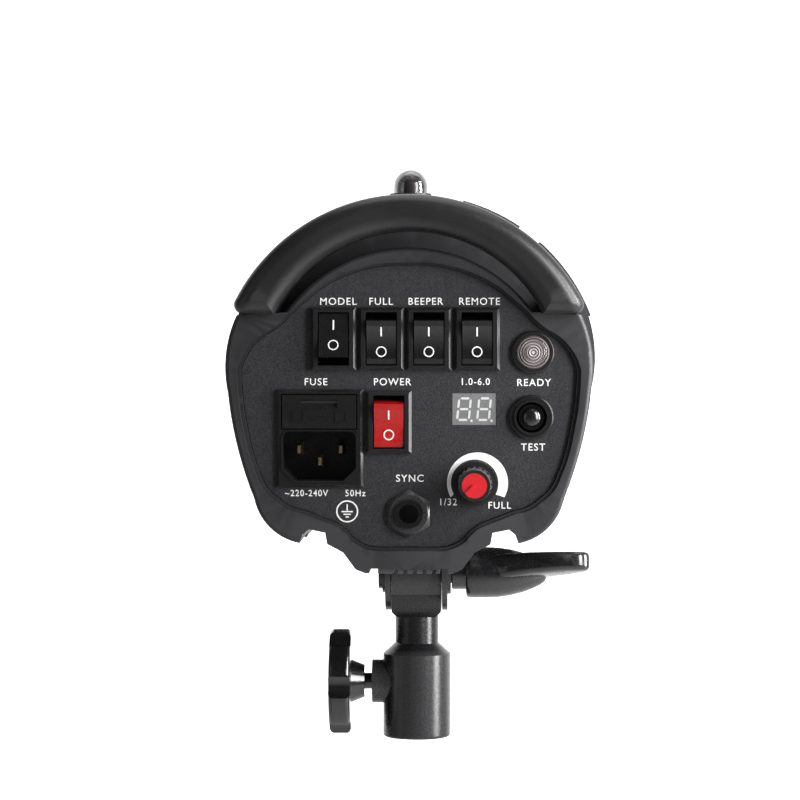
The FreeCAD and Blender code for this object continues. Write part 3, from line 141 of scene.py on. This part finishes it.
def moulded(name, colour, rough=0.5, grain=2200, grain_depth=0.00006, strength=0.35,
            variation=0.25, specular=0.4, wear=0.0):
    """Moulded plastic with a fine spark-eroded grain, slow tone drift and lighter edges."""
    mat, nodes, links, shader = new_material(name)
    vector = coordinates(nodes, links)
    slow = noise(nodes, links, vector, 38, 4)
    fine = noise(nodes, links, vector, grain, 2, 0.7)
    dark = tuple(c * (1 - variation) for c in colour)
    light = tuple(min(1.0, c * (1 + variation) + 0.002) for c in colour)
    base = ramp(nodes, links, slow, [(0.3, dark), (0.72, light)])
    if wear:
        edge = nodes.new("ShaderNodeNewGeometry")
        worn = span(nodes, links, edge.outputs["Pointiness"], 0.0, wear, 0.505, 0.56)
        mix = nodes.new("ShaderNodeMix")
        mix.data_type = "RGBA"
        links.new(worn, mix.inputs["Factor"])
        links.new(base, mix.inputs[6])
        mix.inputs[7].default_value = (*[c * 2.2 + 0.03 for c in colour], 1)
        base = mix.outputs[2]
    links.new(base, shader.inputs["Base Color"])
    links.new(span(nodes, links, fine, rough - 0.07, rough + 0.09, 0.3, 0.7),
              shader.inputs["Roughness"])
    shader.inputs["Specular IOR Level"].default_value = specular
    add_bump(nodes, links, shader, [(fine, grain_depth, strength), (slow, 0.0003, 0.04)])
    return mat


def speckled(name, dark, light, rough=0.44):
    """Textured panel film: dark ground with a very fine paler grain."""
    mat, nodes, links, shader = new_material(name)
    vector = coordinates(nodes, links)
    pebbles = nodes.new("ShaderNodeTexVoronoi")
    pebbles.inputs["Scale"].default_value = 2400
    links.new(vector, pebbles.inputs["Vector"])
    fine = noise(nodes, links, vector, 2600, 4, 0.75)
    slow = noise(nodes, links, vector, 60, 4)
    flecks = ramp(nodes, links, fine, [(0.40, dark), (0.68, light)])
    tone = ramp(nodes, links, slow, [(0.25, (0.84, 0.84, 0.85)), (0.75, (1.0, 1.0, 1.0))])
    links.new(multiply(nodes, links, flecks, tone), shader.inputs["Base Color"])
    links.new(span(nodes, links, fine, rough - 0.08, rough + 0.12, 0.3, 0.7),
              shader.inputs["Roughness"])
    shader.inputs["Specular IOR Level"].default_value = 0.5
    add_bump(nodes, links, shader, [(fine, 0.00006, 0.5),
                                    (pebbles.outputs["Distance"], 0.00005, 0.35)])
    return mat


def glossy(name, colour, rough=0.12, coat=0.5, variation=0.12):
    """Polished plastic with faint moulding waves and handling haze."""
    mat, nodes, links, shader = new_material(name)
    vector = coordinates(nodes, links)
    waves = noise(nodes, links, vector, 160, 2)
    haze = noise(nodes, links, vector, 520, 5, 0.7)
    base = ramp(nodes, links, waves, [(0.3, tuple(c * (1 - variation) for c in colour)),
                                      (0.7, tuple(min(1, c * (1 + variation))
                                                  for c in colour))])
    links.new(base, shader.inputs["Base Color"])
    links.new(span(nodes, links, haze, rough * 0.7, rough * 1.7 + 0.03, 0.35, 0.7),
              shader.inputs["Roughness"])
    shader.inputs["Coat Weight"].default_value = coat
    shader.inputs["Coat Roughness"].default_value = 0.08
    add_bump(nodes, links, shader, [(waves, 0.0002, 0.05), (haze, 0.00003, 0.1)])
    return mat


def metal(name, colour, rough=0.28, stretch=(1, 1, 1), scale=900, tint=0.12):
    """Bare metal with fine directional scratches and slight staining."""
    mat, nodes, links, shader = new_material(name)
    lines = noise(nodes, links, coordinates(nodes, links, stretch), scale, 4, 0.7)
    stain = noise(nodes, links, coordinates(nodes, links), 60, 4)
    base = ramp(nodes, links, stain, [(0.3, tuple(c * (1 - tint) for c in colour)),
                                      (0.75, colour)])
    links.new(base, shader.inputs["Base Color"])
    shader.inputs["Metallic"].default_value = 1.0
    links.new(span(nodes, links, lines, rough * 0.75, rough * 1.35, 0.3, 0.7),
              shader.inputs["Roughness"])
    add_bump(nodes, links, shader, [(lines, 0.00004, 0.2)])
    return mat


def clear(name, colour, rough, alpha):
    """Clear or tinted moulding with faint flow clouds."""
    mat, nodes, links, shader = new_material(name)
    vector = coordinates(nodes, links)
    cloud = noise(nodes, links, vector, 300, 3)
    base = ramp(nodes, links, cloud, [(0.3, tuple(c * 0.9 for c in colour)),
                                      (0.7, colour)])
    links.new(base, shader.inputs["Base Color"])
    links.new(span(nodes, links, cloud, rough, rough * 2 + 0.02), shader.inputs["Roughness"])
    shader.inputs["IOR"].default_value = 1.46
    shader.inputs["Alpha"].default_value = alpha
    shader.inputs["Coat Weight"].default_value = 0.6
    add_bump(nodes, links, shader, [(cloud, 0.00005, 0.08)])
    mat.surface_render_method = "BLENDED"
    return mat


def ribbed(name, x, z, radius, ribs):
    """Clear plastic with painted shade that darkens it towards its rim and in the hollows between
    round ribs.
    """
    mat, nodes, links, shader = new_material(name)
    where = nodes.new("ShaderNodeTexCoord")
    offset = nodes.new("ShaderNodeVectorMath")
    offset.operation = "SUBTRACT"
    offset.inputs[1].default_value = (x * MM, 0.0, z * MM)
    links.new(where.outputs["Object"], offset.inputs[0])
    flat = nodes.new("ShaderNodeVectorMath")
    flat.operation = "MULTIPLY"
    flat.inputs[1].default_value = (1.0, 0.0, 1.0)
    links.new(offset.outputs["Vector"], flat.inputs[0])
    length = nodes.new("ShaderNodeVectorMath")
    length.operation = "LENGTH"
    links.new(flat.outputs["Vector"], length.inputs[0])
    reach = span(nodes, links, length.outputs["Value"], 0.0, 1.0, 0.0, radius * MM)
    phase = span(nodes, links, reach, 0.0, math.tau * ribs)
    wave = nodes.new("ShaderNodeMath")
    wave.operation = "SINE"
    links.new(phase, wave.inputs[0])
    # painted shade: dark rings in the hollows between the ribs, paler on their crests
    groove_painted_shade = ramp(nodes, links, span(nodes, links, wave.outputs["Value"], 0.0, 1.0, -1.0, 1.0),
                   [(0.2, (0.16, 0.14, 0.14)), (0.75, (0.62, 0.57, 0.57))])
    # painted shade that deepens from the bright centre out to the rim
    rim_painted_shade = ramp(nodes, links, reach, [(0.1, (1.0, 1.0, 1.0)), (0.95, (0.34, 0.31, 0.31))])
    links.new(multiply(nodes, links, groove_painted_shade, rim_painted_shade), shader.inputs["Base Color"])
    shader.inputs["Roughness"].default_value = 0.12
    shader.inputs["Alpha"].default_value = 0.8
    shader.inputs["Coat Weight"].default_value = 0.5
    mat.surface_render_method = "BLENDED"
    return mat


def printed(name, colour, rough=0.45):
    """Screen-printed ink: slightly uneven cover and a dry edge."""
    mat, nodes, links, shader = new_material(name)
    vector = coordinates(nodes, links)
    pores = noise(nodes, links, vector, 2600, 2, 0.6)
    base = ramp(nodes, links, pores, [(0.28, tuple(c * 0.78 for c in colour)),
                                      (0.5, colour)])
    links.new(base, shader.inputs["Base Color"])
    links.new(span(nodes, links, pores, rough, rough + 0.15), shader.inputs["Roughness"])
    add_bump(nodes, links, shader, [(pores, 0.00003, 0.2)])
    return mat


SHELL = moulded("shell_plastic", (0.0150, 0.0146, 0.0162), 0.40, 1900, 0.00007, 0.4,
                wear=0.35)
PANEL = speckled("panel_film", (0.0045, 0.0045, 0.0056), (0.044, 0.044, 0.049))
GRIP = moulded("grip_plastic", (0.0105, 0.0105, 0.0112), 0.36, 1500, 0.00006, 0.35, wear=0.3)
SATIN = moulded("satin_black", (0.007, 0.007, 0.0075), 0.36, 3200, 0.00003, 0.25, 0.2)
SWITCH = moulded("switch_black", (0.0062, 0.0062, 0.0066), 0.30, 3600, 0.00003, 0.2, 0.2)
GLOSS = glossy("gloss_black", (0.0048, 0.0048, 0.0052), 0.16)
RED = glossy("rocker_red", (0.32, 0.002, 0.0025), 0.34, 0.12, 0.12)
CAP_RED = moulded("cap_red", (0.41, 0.008, 0.013), 0.45, 2600, 0.00003, 0.2, 0.1, 0.3)
LEVER = glossy("lever_black", (0.0045, 0.0045, 0.005), 0.2, 0.6)
STEEL = metal("plated_steel", (0.56, 0.56, 0.57), 0.3, (1, 1, 6))
NICKEL = metal("nickel", (0.66, 0.64, 0.60), 0.2)
BRASS = metal("pin_brass", (0.62, 0.50, 0.34), 0.24, (1, 3, 1))
BLACK_NUT = moulded("black_nut", (0.0085, 0.0085, 0.009), 0.27, 1800, 0.00004, 0.3, wear=0.5)
RING = metal("ring_alloy", (0.62, 0.62, 0.63), 0.3, (6, 1, 6))
DISH = metal("dish_alloy", (0.82, 0.82, 0.82), 0.16)
DARK_METAL = moulded("black_enamel", (0.008, 0.008, 0.0088), 0.26, 1400, 0.00005, 0.3,
                     wear=0.5)
CERAMIC = glossy("ceramic", (0.78, 0.76, 0.70), 0.3, 0.3, 0.05)
LENS = clear("lens_clear", (0.30, 0.265, 0.265), 0.05, 0.5)
DOME = clear("dome_smoke", (0.012, 0.009, 0.010), 0.03, 0.60)
TUBE = clear("tube_quartz", (0.92, 0.90, 0.82), 0.04, 0.4)
BULB = clear("bulb_frost", (0.93, 0.92, 0.88), 0.35, 0.9)
SCREEN = glossy("screen_grey", (0.15, 0.15, 0.153), 0.3, 0.3, 0.08)
BOARD = moulded("board_green", (0.02, 0.11, 0.045), 0.45, 900)
CAN = glossy("can_sleeve", (0.015, 0.025, 0.09), 0.25)
IRON = moulded("ferrite", (0.05, 0.045, 0.045), 0.5, 1200)
INK = printed("white_ink", (0.80, 0.80, 0.79))
SEGMENT = printed("segment_pale", (0.50, 0.51, 0.50), 0.3)
BRIGHT = glossy("bright_cup", (0.50, 0.46, 0.46), 0.16, 0.6, 0.1)

FINISH = {
    "shell": SHELL, "panel": PANEL, "handle": GRIP, "switch_black": SATIN,
    "rocker_black": GLOSS, "rocker_red": RED, "knob_red": CAP_RED, "lens_clear": LENS,
    "dome_smoke": DOME, "display_grey": SCREEN, "steel": STEEL, "nickel": NICKEL,
    "dark_metal": DARK_METAL, "ring_metal": RING, "dish_metal": DISH, "ceramic": CERAMIC,
    "tube_glass": TUBE, "bulb_glass": BULB, "board": BOARD, "can_sleeve": CAN,
    "core_iron": IRON, "fan_plastic": SATIN,
}
for part in frame["record"]["subparts"]:
    obj = NODES[part["node"]]
    obj.data.materials.clear()
    obj.data.materials.append(FINISH[part["material_slot"]])
for name in ("mains_inlet", "fuse_drawer", "ready_bezel", "test_bezel"):
    NODES[name].data.materials[0] = SWITCH
NODES["sync_jack"].data.materials[0] = GLOSS
for name in ("sync_nut", "tilt_bolt", "tilt_washers"):
    NODES[name].data.materials[0] = BLACK_NUT
NODES["inlet_pins"].data.materials[0] = BRASS
NODES["sensor_cell"].data.materials[0] = BRIGHT


# ------------------------------------------------------------------ piece helpers
def piece(name, mesh, material, body):
    obj = bpy.data.objects.new(name, mesh)
    bpy.context.scene.collection.objects.link(obj)
    if material is not None:
        obj.data.materials.append(material)
    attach(obj, body)
    return obj


def smooth(mesh, angle=35):
    mesh.polygons.foreach_set("use_smooth", [True] * len(mesh.polygons))
    mesh.set_sharp_from_angle(angle=math.radians(angle))
    return mesh


def bm_mesh(name, bm, angle=35):
    bmesh.ops.recalc_face_normals(bm, faces=bm.faces)
    mesh = bpy.data.meshes.new(name)
    bm.to_mesh(mesh)
    bm.free()
    return smooth(mesh, angle)


def prism(bm, outline, place, depth):
    """Extrude a closed outline of (u, v) points; place maps (u, v, w) in mm to metres."""
    low = [bm.verts.new(place(u, v, 0.0)) for u, v in outline]
    high = [bm.verts.new(place(u, v, depth)) for u, v in outline]
    count = len(outline)
    bm.faces.new(low)
    bm.faces.new(list(reversed(high)))
    for i in range(count):
        j = (i + 1) % count
        bm.faces.new((low[i], high[i], high[j], low[j]))


def band(bm, inner, outer, place, depth, closed=True):
    """Extrude the strip between two outlines with the same number of points."""
    rows = [[bm.verts.new(place(u, v, w)) for u, v in line]
            for line, w in ((inner, 0.0), (outer, 0.0), (outer, depth), (inner, depth))]
    count = len(inner)
    for i in range(count if closed else count - 1):
        j = (i + 1) % count
        for a in range(4):
            b = (a + 1) % 4
            bm.faces.new((rows[a][i], rows[a][j], rows[b][j], rows[b][i]))
    if not closed:
        for i in (0, count - 1):
            bm.faces.new([rows[a][i] for a in range(4)])


def rectangle(half_wide, half_tall, cx=0.0, cz=0.0):
    return [(cx - half_wide, cz - half_tall), (cx + half_wide, cz - half_tall),
            (cx + half_wide, cz + half_tall), (cx - half_wide, cz + half_tall)]


def on_panel(x, z, y=FACE):
    """Flat placement on the panel: u along X, v along Z, w out towards the user."""
    return lambda u, v, w: Vector(((x + u) * MM, (y - w) * MM, (z + v) * MM))


def circle(radius, count=40, start=0.0, turn=math.tau, cx=0.0, cz=0.0):
    """Points of a full circle, or of an arc that starts at start and sweeps turn radians."""
    closed = abs(turn - math.tau) < 1e-6
    steps = count if closed else count - 1
    return [(cx + radius * math.cos(start + turn * k / steps),
             cz + radius * math.sin(start + turn * k / steps)) for k in range(count)]


# ------------------------------------------------------------------ printed legends
def letters(text, x, z, height, wide):
    """Mesh of upright sans-serif letters centred on (x, z), height in mm."""
    capital_share = 0.72         # height of a capital over the font's size
    curve = bpy.data.curves.new("letters", "FONT")
    curve.body = text
    curve.align_x, curve.align_y = "CENTER", "CENTER"
    curve.size = height / capital_share * MM
    curve.space_character = 1.16
    curve.offset = height * 0.005 * MM
    curve.extrude = INK_DEPTH / 2 * MM
    curve.resolution_u = 4
    holder = bpy.data.objects.new("letters", curve)
    bpy.context.scene.collection.objects.link(holder)
    bpy.context.view_layer.update()
    mesh = bpy.data.meshes.new_from_object(
        holder.evaluated_get(bpy.context.evaluated_depsgraph_get()))
    bpy.data.objects.remove(holder)
    mesh.transform(Matrix.Translation((x * MM, (FACE - INK_DEPTH / 2) * MM, z * MM))
                   @ Matrix.Rotation(math.pi / 2, 4, "X") @ Matrix.Diagonal((wide, 1, 1, 1)))
    return mesh


def panel_legends():
    """All white printing on the panel, as one thin raised layer of ink."""
    bm = bmesh.new()
    words = [
        ("MODEL", -23.7, 161.4, 2.45, 1.0), ("FULL", -9.4, 161.4, 2.45, 1.0),
        ("BEEPER", 5.5, 161.4, 2.45, 0.97), ("REMOTE", 23.5, 161.4, 2.45, 0.97),
        ("READY", 41.7, 134.3, 2.45, 0.98), ("TEST", 41.5, 112.7, 2.45, 1.0),
        ("1.0-6.0", 22.1, 134.6, 2.35, 0.95), ("POWER", -5.6, 134.5, 2.45, 0.98),
        ("FUSE", -31.2, 134.5, 2.4, 1.0), ("SYNC", 0.3, 102.2, 2.45, 1.0),
        ("1/32", 13.0, 94.3, 2.35, 0.95), ("FULL", 30.3, 93.2, 2.35, 1.0),
        ("~220-240V", -34.4, 97.2, 2.2, 0.92), ("50Hz", -18.0, 97.2, 2.2, 0.95),
    ]
    for text, x, z, height, wide in words:
        mesh = letters(text, x, z, height, wide)
        bm.from_mesh(mesh)
        bpy.data.meshes.remove(mesh)
    # sweep round the power dial, wider towards full power
    count = 72
    start, turn = math.radians(208), -math.radians(236)
    outer = circle(10.2, count, start, turn, 0.95, 0.1)
    inner = circle(7.95, count, start, turn)
    band(bm, inner, outer, on_panel(*DIAL), INK_DEPTH, closed=False)
    # earth symbol in a circle: three bars under a stem
    place = on_panel(*EARTH)
    stroke = 0.2
    band(bm, circle(3.25), circle(3.7), place, INK_DEPTH)
    for half, drop in ((1.9, -0.1), (1.25, -1.0), (0.55, -1.9)):
        prism(bm, rectangle(half, stroke, 0.0, drop), place, INK_DEPTH)
    prism(bm, rectangle(stroke, 1.2, 0.0, 1.2), place, INK_DEPTH)
    mesh = bpy.data.meshes.new("panel_legends")
    bm.to_mesh(mesh)
    bm.free()
    piece("panel_legends", mesh, INK, "head")


def rocker_marks(name, x, z, state):
    """Printed I and O that follow the dished face of a tilted rocker."""
    pivot = Vector((x, FACE + ROCKER_PIVOT, z))
    turn = Matrix.Rotation(math.radians(ROCKER_TILT * state), 3, "X")
    rim, dish_r, dish_axis = -6.2, 26.0, -31.6      # the paddle's front, and its dished face
    ink, bedded = 0.10, 0.02

    def place(u, v, w):
        depth = max(rim, dish_axis + math.sqrt(dish_r ** 2 - v * v))
        return (pivot + turn @ Vector((u, depth + bedded - w, v))) * MM

    bm = bmesh.new()
    left, right = ([(u, 2.0 + 0.64 * k) for k in range(6)] for u in (-0.24, 0.24))
    band(bm, left, right, place, ink, closed=False)
    inner, outer = (circle(radius, 36, cz=-3.2) for radius in (1.40, 1.76))
    band(bm, inner, outer, place, ink)
    obj = piece(f"{name}_marks", bm_mesh(f"{name}_marks", bm), INK, f"{name}_key")


panel_legends()
for rocker in ROCKERS:
    rocker_marks(*rocker)


# ------------------------------------------------------------------ display digits
def display_digits():
    """Two unlit seven-segment digits with their points, on the face of the grey window."""
    place, depth = on_panel(*DISPLAY, FACE + 0.1), 0.06
    half, thick, slant = 1.55, 0.38, 0.1
    side, storey = 1.95, 1.8
    bar = [(-half, 0), (-half + thick, thick), (half - thick, thick), (half, 0),
           (half - thick, -thick), (-half + thick, -thick)]
    flat = [[(u, v + level) for u, v in bar] for level in (2 * storey, 0, -2 * storey)]
    upright = [[(across + v, level + u) for u, v in bar]
               for level in (storey, -storey) for across in (-side, side)]
    bm = bmesh.new()
    for cx in (-3.4, 3.3):
        for segment in flat + upright:
            prism(bm, [(cx + u + v * slant, v) for u, v in segment], place, depth)
        prism(bm, circle(0.42, 12, cx=cx + 2.5, cz=-3.9), place, depth)
    obj = piece("display_digits", bm_mesh("display_digits", bm), SEGMENT, "head")


display_digits()


# ------------------------------------------------------------------ tilt lever
def loft(name, sections, angle=50):
    """Skin closed rings of points given in mm, capped at both ends."""
    bm = bmesh.new()
    rings = [[bm.verts.new(Vector(p) * MM) for p in ring] for ring in sections]
    count = len(rings[0])
    for a, b in zip(rings, rings[1:]):
        for i in range(count):
            j = (i + 1) % count
            bm.faces.new((a[i], a[j], b[j], b[i]))
    bm.faces.new(rings[0])
    bm.faces.new(list(reversed(rings[-1])))
    return bm_mesh(name, bm, angle)


def squircle(x, y, z, half_y, half_z, roll, power=4.0, count=44):
    """Rounded-rectangle ring across X, rolled about X so that its near edge lifts."""
    ring = []
    turn = math.radians(roll)
    for k in range(count):
        a = math.tau * k / count
        c, s = math.cos(a), math.sin(a)
        dy = half_y * math.copysign(abs(c) ** (2 / power), c)
        dz = half_z * math.copysign(abs(s) ** (2 / power), s)
        ring.append((x, y + dy * math.cos(turn) + dz * math.sin(turn),
                     z - dy * math.sin(turn) + dz * math.cos(turn)))
    return ring


def tilt_lever():
    """Bullet-shaped hub and a thick flat paddle swept out and to the rear."""
    profile = [(13.0, 5.9), (13.3, 6.3), (18.2, 6.3), (18.3, 8.6), (18.8, 9.2), (20.0, 9.4),
               (26.0, 9.4), (30.5, 9.2), (35.0, 8.5), (39.0, 7.5), (42.5, 6.2), (45.5, 4.8),
               (47.3, 3.5), (48.2, 2.0), (48.4, 0.6)]
    hub = loft("lever_hub", [[(x, u, v) for u, v in circle(r, 56, cz=TILT_Z)]
                             for x, r in profile], 40)
    # x, y, z, half width, half thickness and roll of the paddle's sections
    stations = [(24.5, 0.0, 62.4, 4.0, 4.0, 6), (27.0, -0.6, 62.6, 6.8, 5.0, 8),
                (34.0, -2.4, 63.1, 8.2, 4.8, 11), (42.0, -4.4, 63.9, 8.6, 4.4, 13),
                (50.0, -6.4, 64.6, 8.2, 4.0, 14), (55.5, -7.9, 65.1, 7.2, 3.8, 14),
                (59.2, -9.0, 65.5, 6.0, 3.7, 13), (61.4, -9.6, 65.7, 4.9, 3.6, 12),
                (62.8, -10.0, 65.8, 3.6, 3.3, 11), (63.5, -10.2, 65.9, 2.3, 2.6, 10),
                (63.7, -10.3, 65.9, 1.2, 1.4, 10)]
    blade = loft("lever_blade", [squircle(*station) for station in stations], 50)
    bm = bmesh.new()
    bm.from_mesh(hub)
    bm.from_mesh(blade)
    obj = piece("tilt_lever_shell", bm_mesh("tilt_lever_shell", bm, 45), LEVER, "lever")
    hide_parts("tilt_lever")


tilt_lever()


# ------------------------------------------------------------------ turned panel parts
def turned(bm, profile, x, z, count=64):
    """Solid of revolution about Y through (x, z); profile is (radius, y from the face)."""
    rings = []
    for radius, y in profile:
        if radius < 1e-6:
            rings.append([bm.verts.new((x * MM, (FACE + y) * MM, z * MM))])
        else:
            rings.append([bm.verts.new((u * MM, (FACE + y) * MM, v * MM))
                          for u, v in circle(radius, count, cx=x, cz=z)])
    for a, b in zip(rings, rings[1:]):
        for i in range(count):
            j = (i + 1) % count
            corners = (a[i % len(a)], a[j % len(a)], b[j % len(b)], b[i % len(b)])
            bm.faces.new(list(dict.fromkeys(corners)))


def centre_of(node):
    """Middle of a CAD node across the panel, as X and Z in mm."""
    low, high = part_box(node)
    return (low[0] + high[0]) / 2 / MM, (low[2] + high[2]) / 2 / MM


def ready_lens():
    """Clear dome with moulded concentric ribs, over a bright cone and a small lamp."""
    x, z = centre_of("ready_lens")
    edge, ribs = 5.76, 6
    profile = [(0.0, 0.45), (edge - 0.6, 0.45), (edge, 0.2), (edge, -1.5), (edge - 0.25, -1.75)]
    for k in range(ribs):
        for part, lift in ((0.15, 0.0), (0.5, 0.5), (0.85, 0.0)):
            radius = (edge - 0.4) * (1 - (k + part) / (ribs + 1.2))
            crown = -1.75 - 1.45 * (1 - (radius / edge) ** 2)
            profile.append((radius, crown - lift))
    profile += [(0.55, -3.30), (0.0, -3.36)]
    bm = bmesh.new()
    turned(bm, profile, x, z)
    # the lens's colour carries painted shade between its ribs and towards its rim
    lens = piece("ready_lens_ribbed", bm_mesh("ready_lens_ribbed", bm, 20),
                 ribbed("lens_ribbed", x, z, edge, ribs), "head")
    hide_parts("ready_lens")
    bm = bmesh.new()
    cup = [(4.75, 0.7), (4.55, 0.7), (3.6, 1.5), (2.3, 2.9), (1.5, 3.3), (1.3, 2.0), (1.15, 1.3),
           (0.7, 0.85), (0.0, 0.7)]
    back = [(0.0, 3.9), (2.2, 3.9), (4.75, 2.4)]
    turned(bm, back + cup, x, z)
    lamp = piece("ready_lamp", bm_mesh("ready_lamp", bm, 35), BRIGHT, "head")


def test_button():
    """Small domed plunger standing in the middle of the bezel's well."""
    x, z = centre_of("test_button")
    profile = [(0.0, 13.0), (1.4, 13.0), (1.4, 2.0), (4.6, 1.9), (4.6, 0.5), (4.3, 0.2),
               (3.35, 0.15), (3.25, -0.2), (3.2, -2.2), (3.0, -2.75), (2.5, -3.25),
               (1.7, -3.65), (0.9, -3.85), (0.0, -3.92)]
    bm = bmesh.new()
    turned(bm, profile, x, z)
    obj = piece("test_plunger", bm_mesh("test_plunger", bm, 40), GLOSS, "test_key")
    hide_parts("test_button")


def button_spring():
    """The button's return spring, made here as a fixed coil of round wire in the CAD spring's
    place.
    """
    low, high = (Vector(corner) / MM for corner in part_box("test_spring"))
    middle = (low + high) / 2
    wire, turns, steps = 0.35, 4, 24
    coil_r = (high.x - low.x) / 2 - wire
    rings = []
    for k in range(turns * steps + 1):
        angle = math.tau * k / steps
        out = Vector((math.cos(angle), 0, math.sin(angle)))
        at = Vector((middle.x, 0, middle.z)) + out * coil_r
        at.y = low.y + wire + (high.y - low.y - 2 * wire) * k / (turns * steps)
        rings.append([at + out * wire * math.cos(math.tau * j / 8)
                      + Vector((0, wire * math.sin(math.tau * j / 8), 0)) for j in range(8)])
    spring = piece("button_spring", loft("button_spring", rings), STEEL, "head")
    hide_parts("test_spring")
    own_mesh(spring)


def inlet_trim():
    """Thin raised lip round the inlet's opening, and tapered contact blades."""
    x, z = centre_of("inlet_pins")[0], RECESS_Z
    pin_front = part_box("inlet_pins")[0][1] / MM
    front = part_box("mains_inlet")[0][1] / MM
    half_w, half_t, cut, corner_r = 12.3, 8.3, 4.2, 2.6

    def mouth(grow):
        w, t, round_r = half_w + grow, half_t + grow, corner_r + grow
        points = [(-w, -t + cut), (-w + cut, -t), (w - cut, -t), (w, -t + cut)]
        for cx, start in ((w - round_r, 0), (-w + round_r, 90)):
            for k in range(7):
                a = math.radians(start + 15 * k)
                points.append((cx + round_r * math.cos(a), t - round_r + round_r * math.sin(a)))
        return points

    bm = bmesh.new()
    band(bm, mouth(0.0), mouth(0.45), on_panel(x, z, front + 0.1), 0.4)
    lip = piece("inlet_lip", bm_mesh("inlet_lip", bm, 35), SWITCH, "head")
    bm = bmesh.new()
    for dx, dz in ((-7.0, 2.0), (7.0, 2.0), (0.0, -2.0)):
        rings = []
        for y, wide, tall in ((12.0, 2.0, 4.0), (2.4, 2.0, 4.0), (1.0, 1.7, 3.6), (0.0, 1.0, 2.6)):
            place = on_panel(x + dx, z + dz, pin_front + y)
            rings.append([bm.verts.new(place(u, v, 0.0)) for u, v in rectangle(wide / 2, tall / 2)])
        for a, b in zip(rings, rings[1:]):
            for i in range(4):
                j = (i + 1) % 4
                bm.faces.new((a[i], a[j], b[j], b[i]))
        bm.faces.new(rings[0])
        bm.faces.new(list(reversed(rings[-1])))
    blades = piece("inlet_blades", bm_mesh("inlet_blades", bm, 30), BRASS, "head")
    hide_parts("inlet_pins")


def drawer_relief():
    """Shallow moulded frame lines on the face of the fuse drawer."""
    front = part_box("fuse_drawer")[0][1] / MM
    place = on_panel(*centre_of("fuse_drawer"), front + 0.02)
    bm = bmesh.new()
    for cx in (-7.2, 7.2):
        band(bm, rectangle(1.6, 1.7, cx, -1.4), rectangle(1.9, 2.0, cx, -1.4), place, 0.2)
    for level in (-1.4, -2.6):
        prism(bm, rectangle(3.2, 0.14, 0.0, level), place, 0.18)
    obj = piece("drawer_relief", bm_mesh("drawer_relief", bm, 35), SWITCH, "fuse_tray")


ready_lens()
test_button()
button_spring()
inlet_trim()
drawer_relief()


# ------------------------------------------------------------------ floor, light, camera
def floor():
    """White paper: flat under the object, then a quarter round up into a wall; it glows as painted
    light, more towards the back.
    """
    drop, bend_y, bend_r, wall_step = 0.30, 1.6, 1.2, 0.7
    profile = [(-3.0 + 0.9 * k, 0.0) for k in range(6)]
    for k in range(19):
        a = math.radians(90 * min(1.0, k / 14))
        rise = wall_step * max(0, k - 14)
        profile.append((bend_y + bend_r * math.sin(a), bend_r - bend_r * math.cos(a) + rise))
    bm = bmesh.new()
    rows = [[bm.verts.new((x, y, z - drop)) for x in (-5, -2, 2, 5)] for y, z in profile]
    for a, b in zip(rows, rows[1:]):
        for i in range(3):
            bm.faces.new((a[i], a[i + 1], b[i + 1], b[i]))
    mesh = bm_mesh("floor", bm, 80)
    obj = bpy.data.objects.new("floor", mesh)
    bpy.context.scene.collection.objects.link(obj)
    mat, nodes, links, shader = new_material("floor_paper")
    grain = noise(nodes, links, coordinates(nodes, links), 90, 4)
    links.new(ramp(nodes, links, grain, [(0.3, (0.56, 0.56, 0.56)), (0.7, (0.6, 0.6, 0.6))]),
              shader.inputs["Base Color"])
    shader.inputs["Roughness"].default_value = 0.9
    # painted light: the paper glows, its emission strength rising from nothing at Y 0.8 m to 1.05
    # at Y 1.7 m
    shader.inputs["Emission Color"].default_value = (1.0, 1.0, 0.995, 1.0)
    where = nodes.new("ShaderNodeTexCoord")
    axes = nodes.new("ShaderNodeSeparateXYZ")
    links.new(where.outputs["Object"], axes.inputs["Vector"])
    links.new(span(nodes, links, axes.outputs["Y"], 0.0, 1.05, 0.8, 1.7),
              shader.inputs["Emission Strength"])
    obj.data.materials.append(mat)


def area_light(name, at, target, size, power):
    """Rectangular light that the camera itself doesn't see."""
    data = bpy.data.lights.new(name, "AREA")
    data.shape = "RECTANGLE"
    data.size, data.size_y = size
    data.energy = power
    obj = bpy.data.objects.new(name, data)
    obj.location = at
    obj.rotation_euler = (Vector(target) - Vector(at)).to_track_quat("-Z", "Y").to_euler()
    obj.visible_camera = False
    bpy.context.scene.collection.objects.link(obj)


def studio():
    """White surroundings with a hard light close on the right, and the photograph's view."""
    floor()
    world = bpy.data.worlds.new("studio")
    bpy.context.scene.world = world
    world.use_nodes = True
    back = world.node_tree.nodes["Background"]
    back.inputs["Color"].default_value = (1, 1, 1, 1)
    back.inputs["Strength"].default_value = 0.10
    aim = (0, -0.05, 0.13)
    area_light("key_right", (0.27, -0.34, 0.22), aim, (0.10, 0.36), 2.2)
    area_light("rim_right", (0.95, -0.30, 0.30), aim, (0.35, 0.9), 26)
    area_light("fill_left", (-1.4, -0.9, 0.35), aim, (0.8, 1.2), 1.6)
    area_light("top", (0.1, 0.1, 1.5), aim, (1.2, 1.2), 10)
    area_light("backdrop", (0, 1.0, 1.4), (0, 2.6, 0.4), (3.0, 1.0), 55)
    bpy.context.scene.view_settings.view_transform = "Standard"
    camera = bpy.data.cameras.new("camera")
    camera.lens = 145.8          # in mm
    camera.clip_end = 50
    obj = bpy.data.objects.new("camera", camera)
    obj.location = (0.027, -1.200, 0.162)
    forward = Vector((-0.0277, 1.0, -0.0309))
    obj.rotation_euler = forward.to_track_quat("-Z", "Y").to_euler()
    bpy.context.scene.collection.objects.link(obj)
    bpy.context.scene.camera = obj


studio()
